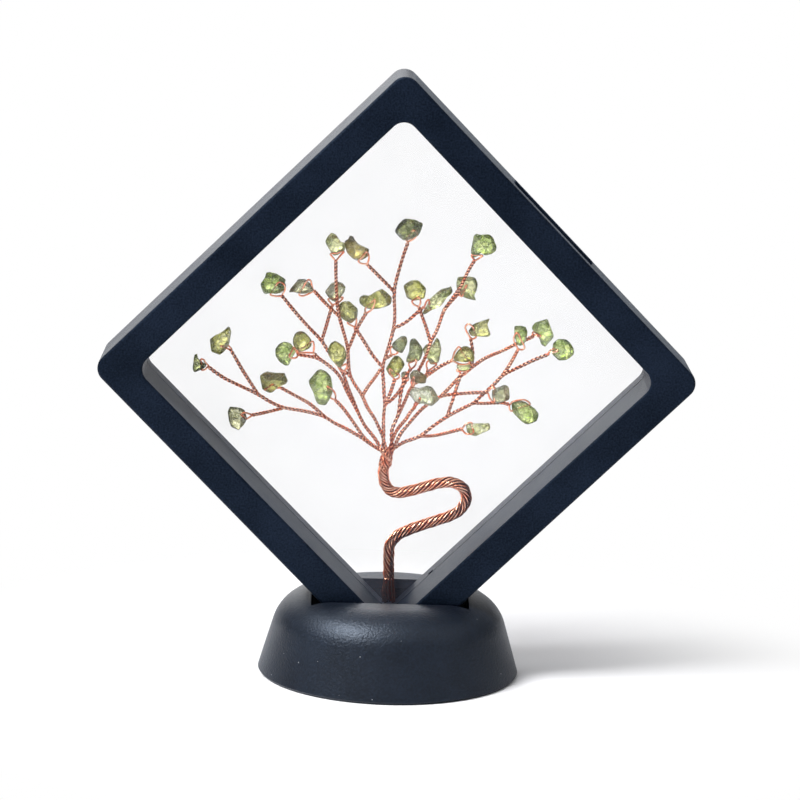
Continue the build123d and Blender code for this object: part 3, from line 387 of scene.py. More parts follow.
# %% Outlines and holes of the chips
stones = {
    "branch_far_left": """
    dark; 0.5; 200.8,359.6,-1 201.5,369.8,0; 205.4,362.4 203.6,359.6; 205.6,369.2;
    196,350 198,358 202,361.5 206,364.5 205,367.5 200.5,370.5 194.5,372.4 192.7,368 193.6,360

    olive; 0.5; 220.5,346,-1 228,345.6,0; 227,348.4 223.4,347; 229.4,346.6;
    229,326.5 233,331 231.3,337.6 228.5,345 224.3,351 218.7,355.2 213,353 209.2,346.8 209.5,341 215,335.5 223,331

    grey; 0.5; 241,414.5,-1 246,419,0; 247.4,413.2 244.6,412.8; 247.6,418.4;
    236,406 241,407 244.6,411 246.6,418 242.5,425.4 236.6,431.7 232,428 227.5,419.7 227.1,410.6 230.6,406.8

    olive; 0.5; 272,384.5,-1 265,389.6,0; 275.6,385.4 273.4,384.4; 272,389;
    267,371 276.2,372.6 285.4,374 288.9,379 286,384 278.3,386.8 270.3,392.7 260.8,387.5 257.3,381 260.8,374.8""",
    "branch_left_single": """
    green; 0; 327.5,386.5,-1 330.3,396.5,0; 335.6,396 333.4,390.8; 331.4,398.6;
    320,370 326,371.7 330.4,377 331.6,385 331.4,392.3 328.5,398.5 325.4,403 321.6,404.2 317,400.7 314,392 310,385
    309,379 313,373""",
    "branch_left": """
    green; 0.5; 278,282.5,-1 270.5,294,0; 285,289.4 284,284.6 281,282.6; 276,296.2 271.6,295.4;
    259.2,287.8 261.7,283.9 265.6,278.3 267.2,272.8 270.6,270.8 276.1,273.3 280.6,276.7 284.8,280 284.1,282.8
    285.6,285.6 283.9,289.4 281.1,292.2 276.1,293.3 269.4,292.8 265,293.3 261.7,291.7

    green; 0.1; 289,356.5,-1 293.6,347.4,0; 297,357 293.4,358.2; 296,350.6;
    284,343 289.5,344 292.5,347.5 294.5,352 291.8,357 288.7,364 285,364.8 279.5,361 276.5,355.6 276.5,349.5
    279.5,345.3

    olive; -0.7; 312,341.5,0 297.4,350.4; 314,347 313.4,342.6; 306.4,352.6 300,352.8;
    301,331.5 306.3,333.4 310.9,339.5 311.2,346 303.3,350.8 299.5,351 294.8,345.7 290.6,338 294,333.4

    grey; 1.2; 328.3,299,0 343,297.6; 329.8,302; 337.8,303;
    325.2,291.7 327.2,288.3 331.7,283.3 337.2,282.2 343.9,282.8 345,287.2 343.9,292.8 340.6,298.3 337.2,301.7
    332.8,302.8 328.3,298.3""",
    "branch_upper_left": """
    pale; -0.5; 330.6,253.8,0 344,251.6; 331.6,256; 341,254.8;
    326.1,241.7 328.3,236.1 331.7,232.8 336.1,235.6 340.6,241.7 345,243.3 344.4,251.7 340.6,254.4 336.1,258.1
    332.2,253.9 327.8,246.1

    grey; -0.3; 306.5,281.5,-1 299,294.2,0; 312,286.4 310.8,281 308.6,279.8; 307.6,294.2 302.4,296;
    289.2,291.7 290,286.1 292.8,280.6 297.2,278.3 302.8,278.3 308.3,279.4 311.7,282.8 312.8,288.3 312.2,291.1
    305,293.3 299.4,293.3 293.9,292.2

    yellow; -0.7; 374.8,299.5,-1 366.5,307,0; 371.6,309.6 374.4,304; 365,310;
    358.5,300.5 359.5,297 364,295 369,295.5 375,292 383,289 387,289.5 390,293 391,299 389.5,304 385,306.5 379,308
    373,308.5 368,308 363,305.5

    yellow; -1.2; 339,367,0 346.4,364; 340.6,370.2; 346.6,368;
    331.6,341.4 337.7,342.6 343.6,347.2 345.8,354 346,361.5 342.5,366.8 337.7,365.5 330,357 327.9,346""",
    "branch_middle": """
    dark; 0; 413,230.5,-1 405.5,239.2,0; 413.8,238.8 416.8,234.4 415.8,231.4; 406.6,240.6;
    394.4,231 399,225 405,219 413,219.5 423,221.5 425,224.5 423,229 420,234 416,236.5 409,238.5 404,239 399,235.5

    olive; 0.7; 356,318,0 347.5,322.4; 356.2,323.4; 349.6,324.6;
    339,305 344,302 350,301 355,304 358,312 356.5,317 354,321 351,324 346,321 341,316

    brown; 0; 366,252.3,-1 358.5,261.2,0; 368.8,259.4 368.6,254.4; 362,263.6;
    344.5,241.5 348,240 350,236.5 351.5,233.5 353,235 354,239 358,244 363,246.5 368,249 370.5,251.5 369.5,255
    367,256 361,260 358,261.5 353,258 348,253 346,248

    pale; 0.7; 428.8,299.8,-1 430.5,309.2,0; 426.4,301.6; 427.6,309.8;
    424,312 427,306 430,298 436,293 441,289.5 448,288 453,285.8 454,288 451.5,293 447,298 443,304 438,308 431,310
    426.5,313

    dark; 0; 391.4,346.5,0 397.8,352; 390.4,350.6; 395,354.6;
    402.2,334.8 406,337.6 406.8,342.5 405,348.6 402,353 397.3,351.4 391.9,348 392,343.2 396,340.4 398.7,336.2

    yellow; -0.6; 389.5,369,-1 399.3,375,0; 390.8,374.6; 398.2,378.4;
    396,355.4 403.8,357.8 404.6,363 403,369.4 398.7,375 394.5,376.8 389,375 385.9,368.5 388.2,363 392.4,358.7

    grey; 1.5; 402,378.2,0 408.6,378; 403.2,380; 408,380.2;
    404.3,371 408,372.7 409.2,376.9 404.8,378.6 401,376.6 401.6,372.5""",
    "branch_upper_right": """
    dark; 0; 416.5,360,-1 408.8,363.2,0; 415,365.6; 409.2,366;
    412.7,336 417,339.7 421,346 422.4,351.7 420.6,358.2 416,362.6 412.7,364.2 407.2,362 407,358 409,351.7
    410,341.8

    green; -0.6; 471.8,255,0 482.8,255.5; 472.2,257.4; 480,257.8;
    470.5,252 472.5,244 473.5,236 476,233.3 481,235 488,235.5 494,239.5 496.2,245 495,250 491,253.5 485,254.5
    481,252.5 477,256 474,257

    yellow; -0.7; 418.5,297,-1 412,301,0; 420.6,302; 414,304.6;
    403.5,289.5 405,285 410,281 416,280 422,281.5 425.5,286 425.8,292 424,298 420,302 416,303 412.5,300.5 407,296

    pale; 0.9; 467,284.5,-1 462.5,296,0; 463.4,289.8; 460.4,295.8;
    456.5,285 457.5,277 459,274.7 462,276 468,277 474,279 477,284 476.5,290 474.5,295 475.8,301 473.5,303.5
    469,301 464,297 459,293

    yellow; -0.6; 459.6,347.2,0 469.5,362.6; 454,353.6 456.8,349; 458.4,363.6 464,364.4;
    461.4,346.4 470.5,346.6 475.4,353.6 475.8,359.8 471.5,361.8 462.3,362 454,360 456.5,353.6

    pale; 1.7; 428.2,361,0 436.6,364.2; 426.4,365; 433,367.6;
    424,345 432.4,344 436.6,338 440.8,342 441.4,348.2 438,362.2 434.5,364.6 430.3,363 427,357 423.6,350.5

    brown; -1.4; 414,377,-1 411.2,381.2,0; 414.6,382; 411.6,384;
    410.4,371.6 417,371 424.6,375 428.5,379.8 426.5,382.4 421.5,383.4 416.9,382.4 411.6,380""",
    "branch_centre_single": """
    milky; -0.6; 420.5,398,-1 415.5,403,0; 418.6,402.6; 414.2,404.6;
    414,387.5 420,388.5 429,385.6 435,390.8 440.2,396 439,400 433.6,406 426,403.6 421.8,402.2 417,403.4 412,399.4
    411,393""",
    "branch_right": """
    grey; -0.6; 494.6,387.4,0 494.2,402; 490.6,388.6; 490,398.6;
    506,384.8 508.6,386.6 509.4,400 504.3,401.4 497.1,403.6 493.6,400.6 490.6,394.6 491.6,389.4 500.7,386.6

    green; 0.3; 541,336,-1 534,331.8,0; 534.8,334.8 538.2,336.6; 532.4,333.6;
    539.4,318 546.9,320.3 550.2,328.6 552.7,336 551.6,342 545.4,346.9 540.9,343.8 539.4,339 535.5,333 530.6,327.8
    533,322

    olive; 0.2; 473,327,-1 476,337,0; 466.4,331 465.4,326.8 468.4,324; 472.6,339;
    488.8,319 487.2,324.5 490.3,334 487.2,336.6 472,335.4 468.8,328.8 475,323.7""",
    "branch_low_right": """
    green; 0; 558,351,-1 553.4,348.6,0; 549,352 553,352.4; 550.4,350.6;
    558.4,339.8 566.6,339.8 572.4,345.6 572.6,353.6 567,359.6 558.6,359.8 552.6,354 552.4,345.6

    pale; 0; 471.5,422.8,0 473.5,433,-1; 465.6,424.4; 466.4,433.8;
    467,425.4 473,423.6 490,423.4 493.4,426 490,429 479.3,433.6 472.1,436.4 468.6,433

    pale; -0.1; 457,371,0 466.5,371; 458,369; 465,374.6;
    456.2,364.6 462.3,364 469.6,364.2 470.8,368 462.3,371.6 457,369.4

    green; 0; 530,404.4,0 512.4,411; 513,401.6 524,399.8; 509.6,409.4;
    512.4,403.6 518.6,401.2 526,403 534.6,408.6 538.7,415.2 536.4,421.4 527.5,423.7 520.4,420.5 513.6,412.5

    green; -0.5; 517.7,333,-1 524.5,347,0; 514,341 514.6,335.6; 522.4,349.6;
    515.4,326 524.5,325.3 527.4,330 527.4,338.4 525.7,345.6 522,347.4 517.7,344 514.7,336""",
}


def chip_from(note):
    """One chip's numbers, by name."""
    tint, layer, hole, arm, other_arm, outline = note.split(";")
    return dict(tint=tint.strip(), layer=float(layer), hole=points_in(hole),
                arms=(points_in(arm), points_in(other_arm)), outline=points_in(outline))


chips = {name: [chip_from(note) for note in text.split("\n\n")] for name, text in stones.items()}
print("chips:", sum(len(row) for row in chips.values()))

# %% [markdown]
# ## The trunk's route
#
# All wires run together into one rope, which is bent like an old tree and ends
# in a brush of loose ends between the films, in the case's lowest corner.

# %% Route of the trunk
trunk_route_px = [
    (387, 459), (383.8, 466), (383, 477), (386.5, 488), (395.5, 493.5), (410, 491), (424, 487), (438, 483),
    (452, 481.5), (463.5, 487), (467.5, 498), (462, 509.5), (449.5, 516.5), (431, 522), (410, 529),
    (397, 535), (389.5, 544), (388.5, 556), (388.8, 579),
]
trunk_crown_px = (387.3, 448)
tails_middle_px = (388.4, 592)
tails_foot_px = (389.6, 599.6)
print("trunk:", len(trunk_route_px), "points")

# %% [markdown]
# ## Lines, twists and tubes
#
# Wire is made in three steps. A route's few points become a smooth line that
# cuts inside each corner, as bent wire does. Round that line two strands wind,
# half a turn apart. Each strand becomes a tube. The maths is short, and it gives
# real strands whose highlights and gaps move with the light, which a bump on a
# plain tube never does.

# %% Smooth lines
def eased(points, step):
    """A smooth line that starts and ends on its points and cuts inside each corner."""
    points = [np.asarray(point, float) for point in points]
    if len(points) == 2:
        count = max(int(np.linalg.norm(points[1] - points[0]) / step), 2)
        share = np.linspace(0, 1, count + 1)[:, None]
        return points[0] * (1 - share) + points[1] * share
    middles = [points[0]] + [(a + b) / 2 for a, b in zip(points[1:-1], points[2:-1])] + [points[-1]]
    line = []
    for start, corner, end in zip(middles, points[1:-1], middles[1:]):
        length = np.linalg.norm(corner - start) + np.linalg.norm(end - corner)
        share = np.linspace(0, 1, max(int(length / step), 4), endpoint=False)[:, None]
        line.append(start * (1 - share) ** 2 + corner * 2 * share * (1 - share) + end * share ** 2)
    return even(np.vstack(line + [points[-1:]]), step)


def bow(start, end, slope_in, slope_out, count):
    """A smooth curve from one point to the next that leaves and comes in at given slopes."""
    share = np.linspace(0, 1, count, endpoint=False)[:, None]
    return (start * (2 * share ** 3 - 3 * share ** 2 + 1) + slope_in * (share ** 3 - 2 * share ** 2 + share)
            + end * (3 * share ** 2 - 2 * share ** 3) + slope_out * (share ** 3 - share ** 2))


def through(points, step):
    """A smooth line that passes through all its points."""
    points = np.array([2 * np.array(points[0]) - points[1], *points, 2 * np.array(points[-1]) - points[-2]])
    line = []
    for p0, p1, p2, p3 in zip(points, points[1:], points[2:], points[3:]):
        line.append(bow(p1, p2, (p2 - p0) / 2, (p3 - p1) / 2, max(int(np.linalg.norm(p2 - p1) / step), 3)))
    return even(np.vstack(line + [points[-2:-1]]), step)


def run_of(line):
    """How far along the line each point is."""
    return np.concatenate([[0], np.cumsum(np.linalg.norm(np.diff(line, axis=0), axis=1))])


def even(line, step):
    """The same line with its points a step apart."""
    gone = run_of(line)
    marks = np.linspace(0, gone[-1], max(int(gone[-1] / step), 2) + 1)
    return np.column_stack([np.interp(marks, gone, line[:, i]) for i in range(3)])


def carried_frame(line):
    """Two directions square to the line at each point, that never spin about it."""
    ways = np.gradient(line, axis=0)
    ways /= np.linalg.norm(ways, axis=1)[:, None]
    side = np.cross(ways[0], [0.0, 1.0, 0.0])
    if np.linalg.norm(side) < 0.1:
        side = np.cross(ways[0], [1.0, 0.0, 0.0])
    sides = []
    for way in ways:
        side = side - way * side.dot(way)
        side /= np.linalg.norm(side)
        sides.append(side)
    sides = np.array(sides)
    return sides, np.cross(ways, sides)


def wound(line, radius, turn, start_turn):
    """A strand that winds about a line. Turn is how far round it is at each point."""
    side, across = carried_frame(line)
    angle = (turn + start_turn)[:, None]
    radius = np.broadcast_to(radius, len(line))[:, None]
    return line + (side * np.cos(angle) + across * np.sin(angle)) * radius


# %% [markdown]
# A mesh is built from rings of points along a line. All the strands of a branch
# go into one mesh, because they are one piece of wire work, and a mesh with many
# loose shells is cheaper to handle than hundreds of objects.

# %% Tubes and pieces
TUBE_SIDES = 8
# Painted shade on a strand: darker on its side that faces the core, within CORE_REACH of it.
SHADE_SLOPE, SHADE_LEVEL = 0.9, 0.75
CORE_REACH = 2.4


class Shells:
    """Points and faces of one piece, gathered shell by shell."""

    def __init__(self):
        self.points = []
        self.faces = []
        self.painted_shade = []
        self.count = 0

    def tube(self, line, radius, core=None, sunk_shade=0.0):
        """A closed round tube along a line. Its skin notes a painted shade: how far it faces the core, or a
        fixed level given for the strand.
        """
        side, across = carried_frame(line)
        angle = np.linspace(0, 2 * math.pi, TUBE_SIDES, endpoint=False)[None, :, None]
        out = side[:, None] * np.cos(angle) + across[:, None] * np.sin(angle)
        painted_shade = np.full(out.shape[:2], sunk_shade)
        if core is not None and not sunk_shade:
            inward = core - line
            far = np.linalg.norm(inward, axis=1)[:, None]
            inward = inward / np.maximum(far, 1e-6)
            facing = (out * inward[:, None]).sum(axis=2)
            painted_shade = np.clip(facing * SHADE_SLOPE + SHADE_LEVEL, 0, 1) * (far < CORE_REACH)
        radius = np.broadcast_to(radius, len(line))[:, None, None]
        self.rings(line[:, None] + out * radius, painted_shade)

    def rings(self, rings, painted_shade):
        """A closed shell from rings of points, with the end rings filled."""
        total, sides = rings.shape[:2]
        first = self.count
        self.points.append(rings.reshape(-1, 3))
        self.painted_shade.append(painted_shade.reshape(-1))
        for ring in range(total - 1):
            for index in range(sides):
                a = first + ring * sides + index
                b = first + ring * sides + (index + 1) % sides
                self.faces.append((a, b, b + sides, a + sides))
        self.faces.append(tuple(first + index for index in reversed(range(sides))))
        self.faces.append(tuple(first + (total - 1) * sides + index for index in range(sides)))
        self.count += total * sides

    def piece(self, name, finish, body, slot, *stands_for):
        """The finished object, on its body, in place of the engineer's nodes."""
        mesh = bpy.data.meshes.new(name)
        mesh.from_pydata((np.vstack(self.points) * MM).tolist(), [], self.faces)
        mesh.polygons.foreach_set("use_smooth", [True] * len(mesh.polygons))
        if self.painted_shade:
            skin = mesh.attributes.new("painted_shade", "FLOAT", "POINT")
            skin.data.foreach_set("value", np.concatenate(self.painted_shade))
        mesh.materials.append(finish)
        made = bpy.data.objects.new(name, mesh)
        scene.collection.objects.link(made)
        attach(made, body)
        if stands_for:
            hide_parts(*stands_for)
        return made


# %% [markdown]
# ## Copper
#
# Bare craft wire is bright, but its skin is not even: drawing and twisting leave
# it a little duller and browner in places. So the colour and the roughness both
# follow a slow noise. The grooves between two strands catch no light, so they get
# a painted shade, dark brown. The mesh knows where they are, since each strand
# knows its core. The trunk's foot gets a painted shade too, darker towards the
# bottom, because it stands deep in the case's corner.

# %% Copper wire
BRIGHT_COPPER, DULL_COPPER = (1.0, 0.56, 0.38), (0.88, 0.27, 0.13)
# Painted shade colours: dark brown for the grooves, and for the foot deep in the case's corner.
GROOVE_SHADE_COPPER, FOOT_SHADE_COPPER = (0.20, 0.028, 0.016), (0.20, 0.035, 0.022)
FOOT_FROM, FOOT_TO = 12 * MM, 18.5 * MM


def copper_finish():
    """Bright copper with painted shade in its grooves and at the trunk's foot."""
    material, flow, shader = finish_named("copper_wire")
    place = place_on(flow)
    tarnish = noise(flow, place, 1.1, detail=3)
    scuffs = noise(flow, place, 0.25)
    painted_shade = painted_shade_of(flow)
    skin = tarnish.within(0.38, 0.66).blend(BRIGHT_COPPER, DULL_COPPER)
    # Painted shade: grooves, inner strands and tails go dark brown.
    skin = painted_shade.within(0.1, 0.72).blend(skin, GROOVE_SHADE_COPPER)
    # Painted shade: darker towards the trunk's foot, deep in the case's corner.
    low = (1 - parts_of(flow, place)[2].within(FOOT_FROM, FOOT_TO)) * 0.75
    feed(low.blend(skin, FOOT_SHADE_COPPER), shader, "Base Color")
    feed(scuffs * 0.10 + tarnish * 0.08 + painted_shade * 0.25 + 0.05, shader, "Roughness")
    hold(shader, Metallic=1.0, Specular_Tint=(1.0, 0.60, 0.45, 1))
    bump(flow, shader, scuffs, 0.01, 0.5)
    return material


copper = copper_finish()
print("finish:", copper.name)

# %% [markdown]
# ## Peridot
#
# A tumbled chip is clear stone full of tiny cracks, polished but never flat. The
# colour sits in the depth, so most of it comes through the stone: the shader
# lets light through and tints it. A slow noise makes cloudy and clear patches,
# and cells make flat glints with dark cracks between them. Small light flecks
# are painted glints, and each chip's rim gets a painted shade.
# One finish per tint is enough, since the noise differs from chip to chip.

# %% Peridot in eight tints, each from deep to light
FACET = 1.3
TINTS = {
    "green": ((0.34, 0.48, 0.10), (0.80, 0.91, 0.34)),
    "olive": ((0.37, 0.38, 0.08), (0.77, 0.75, 0.28)),
    "yellow": ((0.42, 0.43, 0.07), (0.88, 0.86, 0.31)),
    "pale": ((0.50, 0.58, 0.19), (0.97, 0.97, 0.54)),
    "grey": ((0.42, 0.43, 0.22), (0.86, 0.85, 0.52)),
    "dark": ((0.19, 0.22, 0.07), (0.52, 0.56, 0.24)),
    "milky": ((0.78, 0.84, 0.50), (0.97, 0.97, 0.81)),
    "brown": ((0.31, 0.25, 0.07), (0.66, 0.57, 0.20)),
}


def peridot_finish(tint):
    """Cracked green stone with painted glints. Its rim, noted by the mesh, gets a painted shade."""
    deep, light = TINTS[tint]
    material, flow, shader = finish_named("peridot_" + tint)
    place = place_on(flow)
    bent = place + (noise(flow, place, 1.5, output=1) - 0.5) * (1.2 * MM)
    cloud = noise(flow, place, 1.6, detail=4)
    grain = noise(flow, place, 0.35)
    # Painted glints: small light flecks in the colour.
    painted_glint = noise(flow, bent, 0.7).within(0.58, 0.66)
    facet = flow.make("ShaderNodeSeparateColor", None, {0: cells(flow, bent, FACET, output=1)})
    seam = cells(flow, bent, FACET, "DISTANCE_TO_EDGE")
    clear = (facet * 0.5 + cloud * 0.4 + grain * 0.3).within(0.38, 0.78)
    flaw = (1 - seam.within(0.0, 0.11)) * 0.75
    # Painted shade: the stone's rim, noted by its mesh, darkens like the cracks.
    dark = flow.maths("MAXIMUM", flaw, painted_shade_of(flow) * 0.8)
    # shade is the dark of the real cracks and of the painted shade at the rim.
    shade = [share * 0.16 for share in deep]
    # bright is the colour of the painted glints.
    bright = [0.35 + share * 0.62 for share in light]
    stone = (painted_glint * 0.7).blend(clear.blend(deep, light), bright)
    feed(dark.blend(stone, shade), shader, "Base Color")
    feed(grain * 0.1 + flaw * 0.3 + 0.02, shader, "Roughness")
    hold(shader, IOR=1.65, Transmission_Weight=0.78)
    bump(flow, shader, facet * 0.6 + cloud * 0.6 + seam * 0.5 + grain * 0.15, 0.3, 0.9)
    return material


peridot = {tint: peridot_finish(tint) for tint in TINTS}
print("tints:", *peridot)

# %% [markdown]
# ## Chips
#
# Each outline is softened and swept into a pebble: rings that shrink towards a
# front and a back pole. Slow waves make it uneven, and then flat planes press
# into it. That is what tumbling leaves of a broken chip: worn, soft facets.

# %% One pebble
STEP = 0.22
ROUND_POINTS, RINGS, WAVES, PLANES = 64, 25, 9, 16
SOFTNESS = 0.28
FULL = [1.05, 1.0, 1.05]        # gives back what the planes take off the outline


def softened(outline, count):
    """A closed outline through its corners, with its points evened out."""
    points = np.array(outline, float)
    around = np.vstack([points[-2:], points, points[:2]])
    line = []
    for p0, p1, p2, p3 in zip(around, around[1:], around[2:], around[3:]):
        line.append(bow(p1, p2, (p2 - p0) * SOFTNESS, (p3 - p1) * SOFTNESS, 12))
    closed = np.vstack(line[1:])
    closed = np.vstack([closed, closed[:1]])
    return even(closed, run_of(closed)[-1] / count)[:count]


def depth_of(chip):
    """How thick a chip is, front to back."""
    wide = [point[0] for point in chip["outline"]]
    high = [point[1] for point in chip["outline"]]
    spread = seen((max(wide), min(high))) - seen((min(wide), max(high)))
    return CHIP_DEPTH_SHARE * (spread[0] + spread[2]) / 2


def pebble(chip, seed):
    """The rings of a worn stone chip."""
    rng = np.random.default_rng(seed)
    rim = softened([seen(point, chip["layer"]) for point in chip["outline"]], ROUND_POINTS)
    middle = rim.mean(axis=0)
    deep = depth_of(chip) / 2
    tilt = rng.uniform(-0.3, 0.3, 2) * deep / np.abs(rim - middle).max()
    rings = []
    for angle in np.linspace(-0.49 * math.pi, 0.49 * math.pi, RINGS):
        out = abs(math.cos(angle)) ** 0.6
        back = np.sign(angle) * abs(math.sin(angle)) ** 0.85 * deep
        ring = middle + (rim - middle) * out + [0, back, 0]
        ring[:, 1] += ((rim - middle)[:, [0, 2]] @ tilt) * out
        rings.append(ring)
    rings = np.array(rings) - middle
    size = np.abs(rings).max()
    lump = np.zeros(rings.shape[:2])
    for _ in range(WAVES):
        wave = rng.normal(size=3) * rng.uniform(1.2, 3.2) / size
        lump += np.cos(rings @ wave + rng.uniform(0, 2 * math.pi)) * 0.045
    rings = rings * (1 + lump[..., None] * [0.35, 1.6, 0.35])
    for _ in range(PLANES):
        facing = rng.normal(size=3) * [0.75, 0.2, 0.75] + [0, rng.choice([-1, 1]), 0]
        facing /= np.linalg.norm(facing)
        reach = rings @ facing
        limit = reach.max() * rng.uniform(0.7, 0.88)
        over = np.maximum(reach - limit, 0)
        rings = rings - over[..., None] * facing
    return rings * FULL + middle


print("a pebble has", ROUND_POINTS * RINGS, "points")

# %% [markdown]
# ## Twisted pairs and their loops
#
# One wire goes out along a twig, loops through the stone and comes back, and the
# two halves are twisted together. So the strands of a twig and the loop at its
# end are one long line here too: out on one strand, round, back on the other.

# %% Branches
TWIST_LENGTH = 1.8
STRAND = 0.4
STRAND_RADIUS = 0.24
ROPE_LAY, TIGHT_LAY = 11.0, 6.5
LOOSE_AT, LOOSENING_RUN = 14, 8
FOOT_STEP, FOOT_RADIUS = 0.8, 1.12
OUT_OF_REACH = 9
trunk_line = eased([seen(trunk_crown_px)] + [seen(point) for point in trunk_route_px], STEP)
trunk_run = run_of(trunk_line)
trunk_side, trunk_across = carried_frame(trunk_line)


def rope_turn():
    """How far the rope's strands have turned at each point of the trunk."""
    tight = np.clip((LOOSE_AT - trunk_run) / LOOSENING_RUN, 0, 1)
    per_mm = 1 / ROPE_LAY * (1 - tight) + 1 / TIGHT_LAY * tight
    return -2 * math.pi * np.concatenate([[0], np.cumsum(per_mm[1:] * np.diff(trunk_run))])


def round_trunk(first_point, length):
    """Points that lead a branch's foot down round the top of the trunk, lowest first."""
    off = first_point - trunk_line[0]
    begin = math.atan2(off @ trunk_across[0], off @ trunk_side[0])
    turn = rope_turn()
    points = []
    for gone in np.arange(FOOT_STEP, length, FOOT_STEP):
        spot = int(gone / trunk_run[1])
        radius = FOOT_RADIUS - 0.9 * max(gone / length - 0.7, 0)
        angle = begin + turn[spot]
        out = trunk_side[spot] * math.cos(angle) + trunk_across[spot] * math.sin(angle)
        points.append(trunk_line[spot] + out * radius)
    return points[::-1]


def loop_line(chip, start, end):
    """The wire from one strand's end through the stone to the other strand's end."""
    reach = depth_of(chip) / 2 + WIRE * 0.5
    first, second = [seen((x, y), chip["layer"], side * reach) for x, y, side in chip["hole"]]
    ways = []
    for hole, arm in zip(chip["hole"], chip["arms"]):
        depths = [hole[2] * reach * (index + 1) / (len(arm) + 1) for index in range(len(arm))]
        ways.append([seen(point, chip["layer"], depth) for point, depth in zip(arm, depths)])
    inside = (first + second) / 2
    return through([start, *ways[0], first, inside, second, *ways[1][::-1], end], STEP * 0.7)


def make_branch(name, index):
    """A branch with all its twigs, as one mesh of bare wire."""
    rng = np.random.default_rng(100 + index)
    shells = Shells()
    length = 0
    for number, run in enumerate(branches[name]):
        points = [seen((x, y), layer) for x, y, layer in run]
        if number == 0:
            points = round_trunk(points[1], rng.uniform(2.5, 6)) + points[1:]
        line = eased(points, STEP)
        gone = run_of(line)
        length += gone[-1]
        pitch = TWIST_LENGTH * rng.uniform(0.75, 1.15)
        uneven = np.sin(gone / 5.3 + rng.uniform(0, 6)) * 0.6 + np.sin(gone / 2.1 + rng.uniform(0, 6)) * 0.4
        turn = 2 * math.pi * gone / pitch + uneven
        begin = rng.uniform(0, 2 * math.pi)
        radius = STRAND_RADIUS * (1 + 0.1 * np.sin(gone / 1.7 + begin))
        one = wound(line, radius, turn, begin)
        two = wound(line, radius, turn, begin + math.pi)
        if number < len(chips[name]):
            loop = loop_line(chips[name][number], one[-1], two[-1])
            wire = np.vstack([one[:-1], loop, two[-2::-1]])
            # The loop's core is moved out of reach, so the loop gets no painted shade.
            core = np.vstack([line[:-1], loop + OUT_OF_REACH, line[-2::-1]])
            shells.tube(wire, STRAND / 2, core=core)
        else:
            shells.tube(one, STRAND / 2, core=line)
            shells.tube(two, STRAND / 2, core=line)
    shells.piece(name + "_wires", copper, "case_back", "copper_wire", name)
    return length


total = sum(make_branch(name, index) for index, name in enumerate(branches))
print("twisted wire:", round(total), "mm of pairs")

# %% Chips
number = 0
for name in branches:
    for chip in chips[name]:
        number += 1
        shells = Shells()
        rings = pebble(chip, number)
        # The middle rings, at the stone's rim, get a painted shade.
        rim = np.clip(1.3 - np.abs(np.linspace(-5, 5, len(rings))), 0, 1)
        shells.rings(rings, np.repeat(rim[:, None], rings.shape[1], axis=1))
        node = f"peridot_chip_{number:02d}"
        shells.piece(node + "_stone", peridot[chip["tint"]], "case_back", "peridot", node)
print("chips made:", number)

# %% [markdown]
# ## The trunk
#
# The trunk is a real rope: nine strands side by side, laid over eight inner ones.
# The inner strands get a painted shade, dark all over.
# At the top it gets slim and the branches' feet wind round it, so that no cut
# end shows. At the foot the strands part and spread like a brush.

# %% Trunk and tails
# Each layer: strand count, reach from the middle, and its painted shade (the inner layer is painted dark).
LAYERS_OF_ROPE = ((9, ROPE / 2 - WIRE / 2, 0.0), (8, ROPE / 2 - WIRE * 1.3, 0.9))
SLIM_RUN = 4


def make_trunk():
    """The rope: a layer of strands over a second layer, both laid the same way. The inner layer gets a painted
    shade.
    """
    rng = np.random.default_rng(7)
    turn = rope_turn()
    slim = 1 - 0.6 * np.clip(1 - trunk_run / SLIM_RUN, 0, 1)
    shells = Shells()
    ends = []
    for count, reach, sunk_shade in LAYERS_OF_ROPE:
        for strand in range(count):
            begin = 2 * math.pi * (strand + rng.uniform(-0.12, 0.12)) / count
            wave = np.sin(trunk_run / 3.1 + begin * 3) * 0.04 + np.sin(trunk_run / 1.3 + begin * 5) * 0.02
            wire = wound(trunk_line, reach * slim * (1 + wave), turn, begin)
            shells.tube(wire, WIRE / 2, core=trunk_line, sunk_shade=sunk_shade)
            ends.append(wire[-1])
    shells.piece("trunk_rope_wires", copper, "case_back", "copper_wire", "trunk_rope")
    return ends


rope_ends = make_trunk()


def make_tails(ends):
    """The loose ends below the rope, each with a painted shade of random strength."""
    rng = np.random.default_rng(11)
    top, middle, foot = trunk_line[-1], seen(tails_middle_px), seen(tails_foot_px)
    shells = Shells()
    for end in ends:
        out = (end - top) / (ROPE / 2 - WIRE / 2)
        at_middle = middle + [out[0] * 1.4 + rng.normal() * 0.08, out[1] * 0.55, 0]
        at_foot = foot + [out[0] * 1.1 + rng.normal() * 0.15, out[1] * 0.14, rng.uniform(-0.8, 0.0)]
        way = through([end + [0, 0, 0.3], end - [0, 0, 0.3], at_middle, at_foot], STEP)
        # A random painted shade for each tail.
        shells.tube(way, WIRE / 2, sunk_shade=rng.uniform(0.0, 0.6))
    shells.piece("trunk_tail_wires", copper, "case_back", "copper_wire", "trunk_tails")


make_tails(rope_ends)
print("trunk:", round(trunk_run[-1], 1), "mm of rope")

# %% [markdown]
# ## Films
#
# Each film is glued to its half of the case and stretched by the tree. Its shape
# is the one a soap film would take over the tree: level with the seam at the
# window's edge, resting on the stones that stand out most, and drawn straight
# between them. That is worked out on a grid: every point takes the mean height
# of its neighbours, or the tree's own height where that is more.

# %% The films' heights
GRID = 121
COARSE_TO_FINE = (16, 31, 61, GRID)
ROUNDS = 400
FILM_GAP = 0.12
FILM_LAP = 0.6
FILM_THICK = 0.06


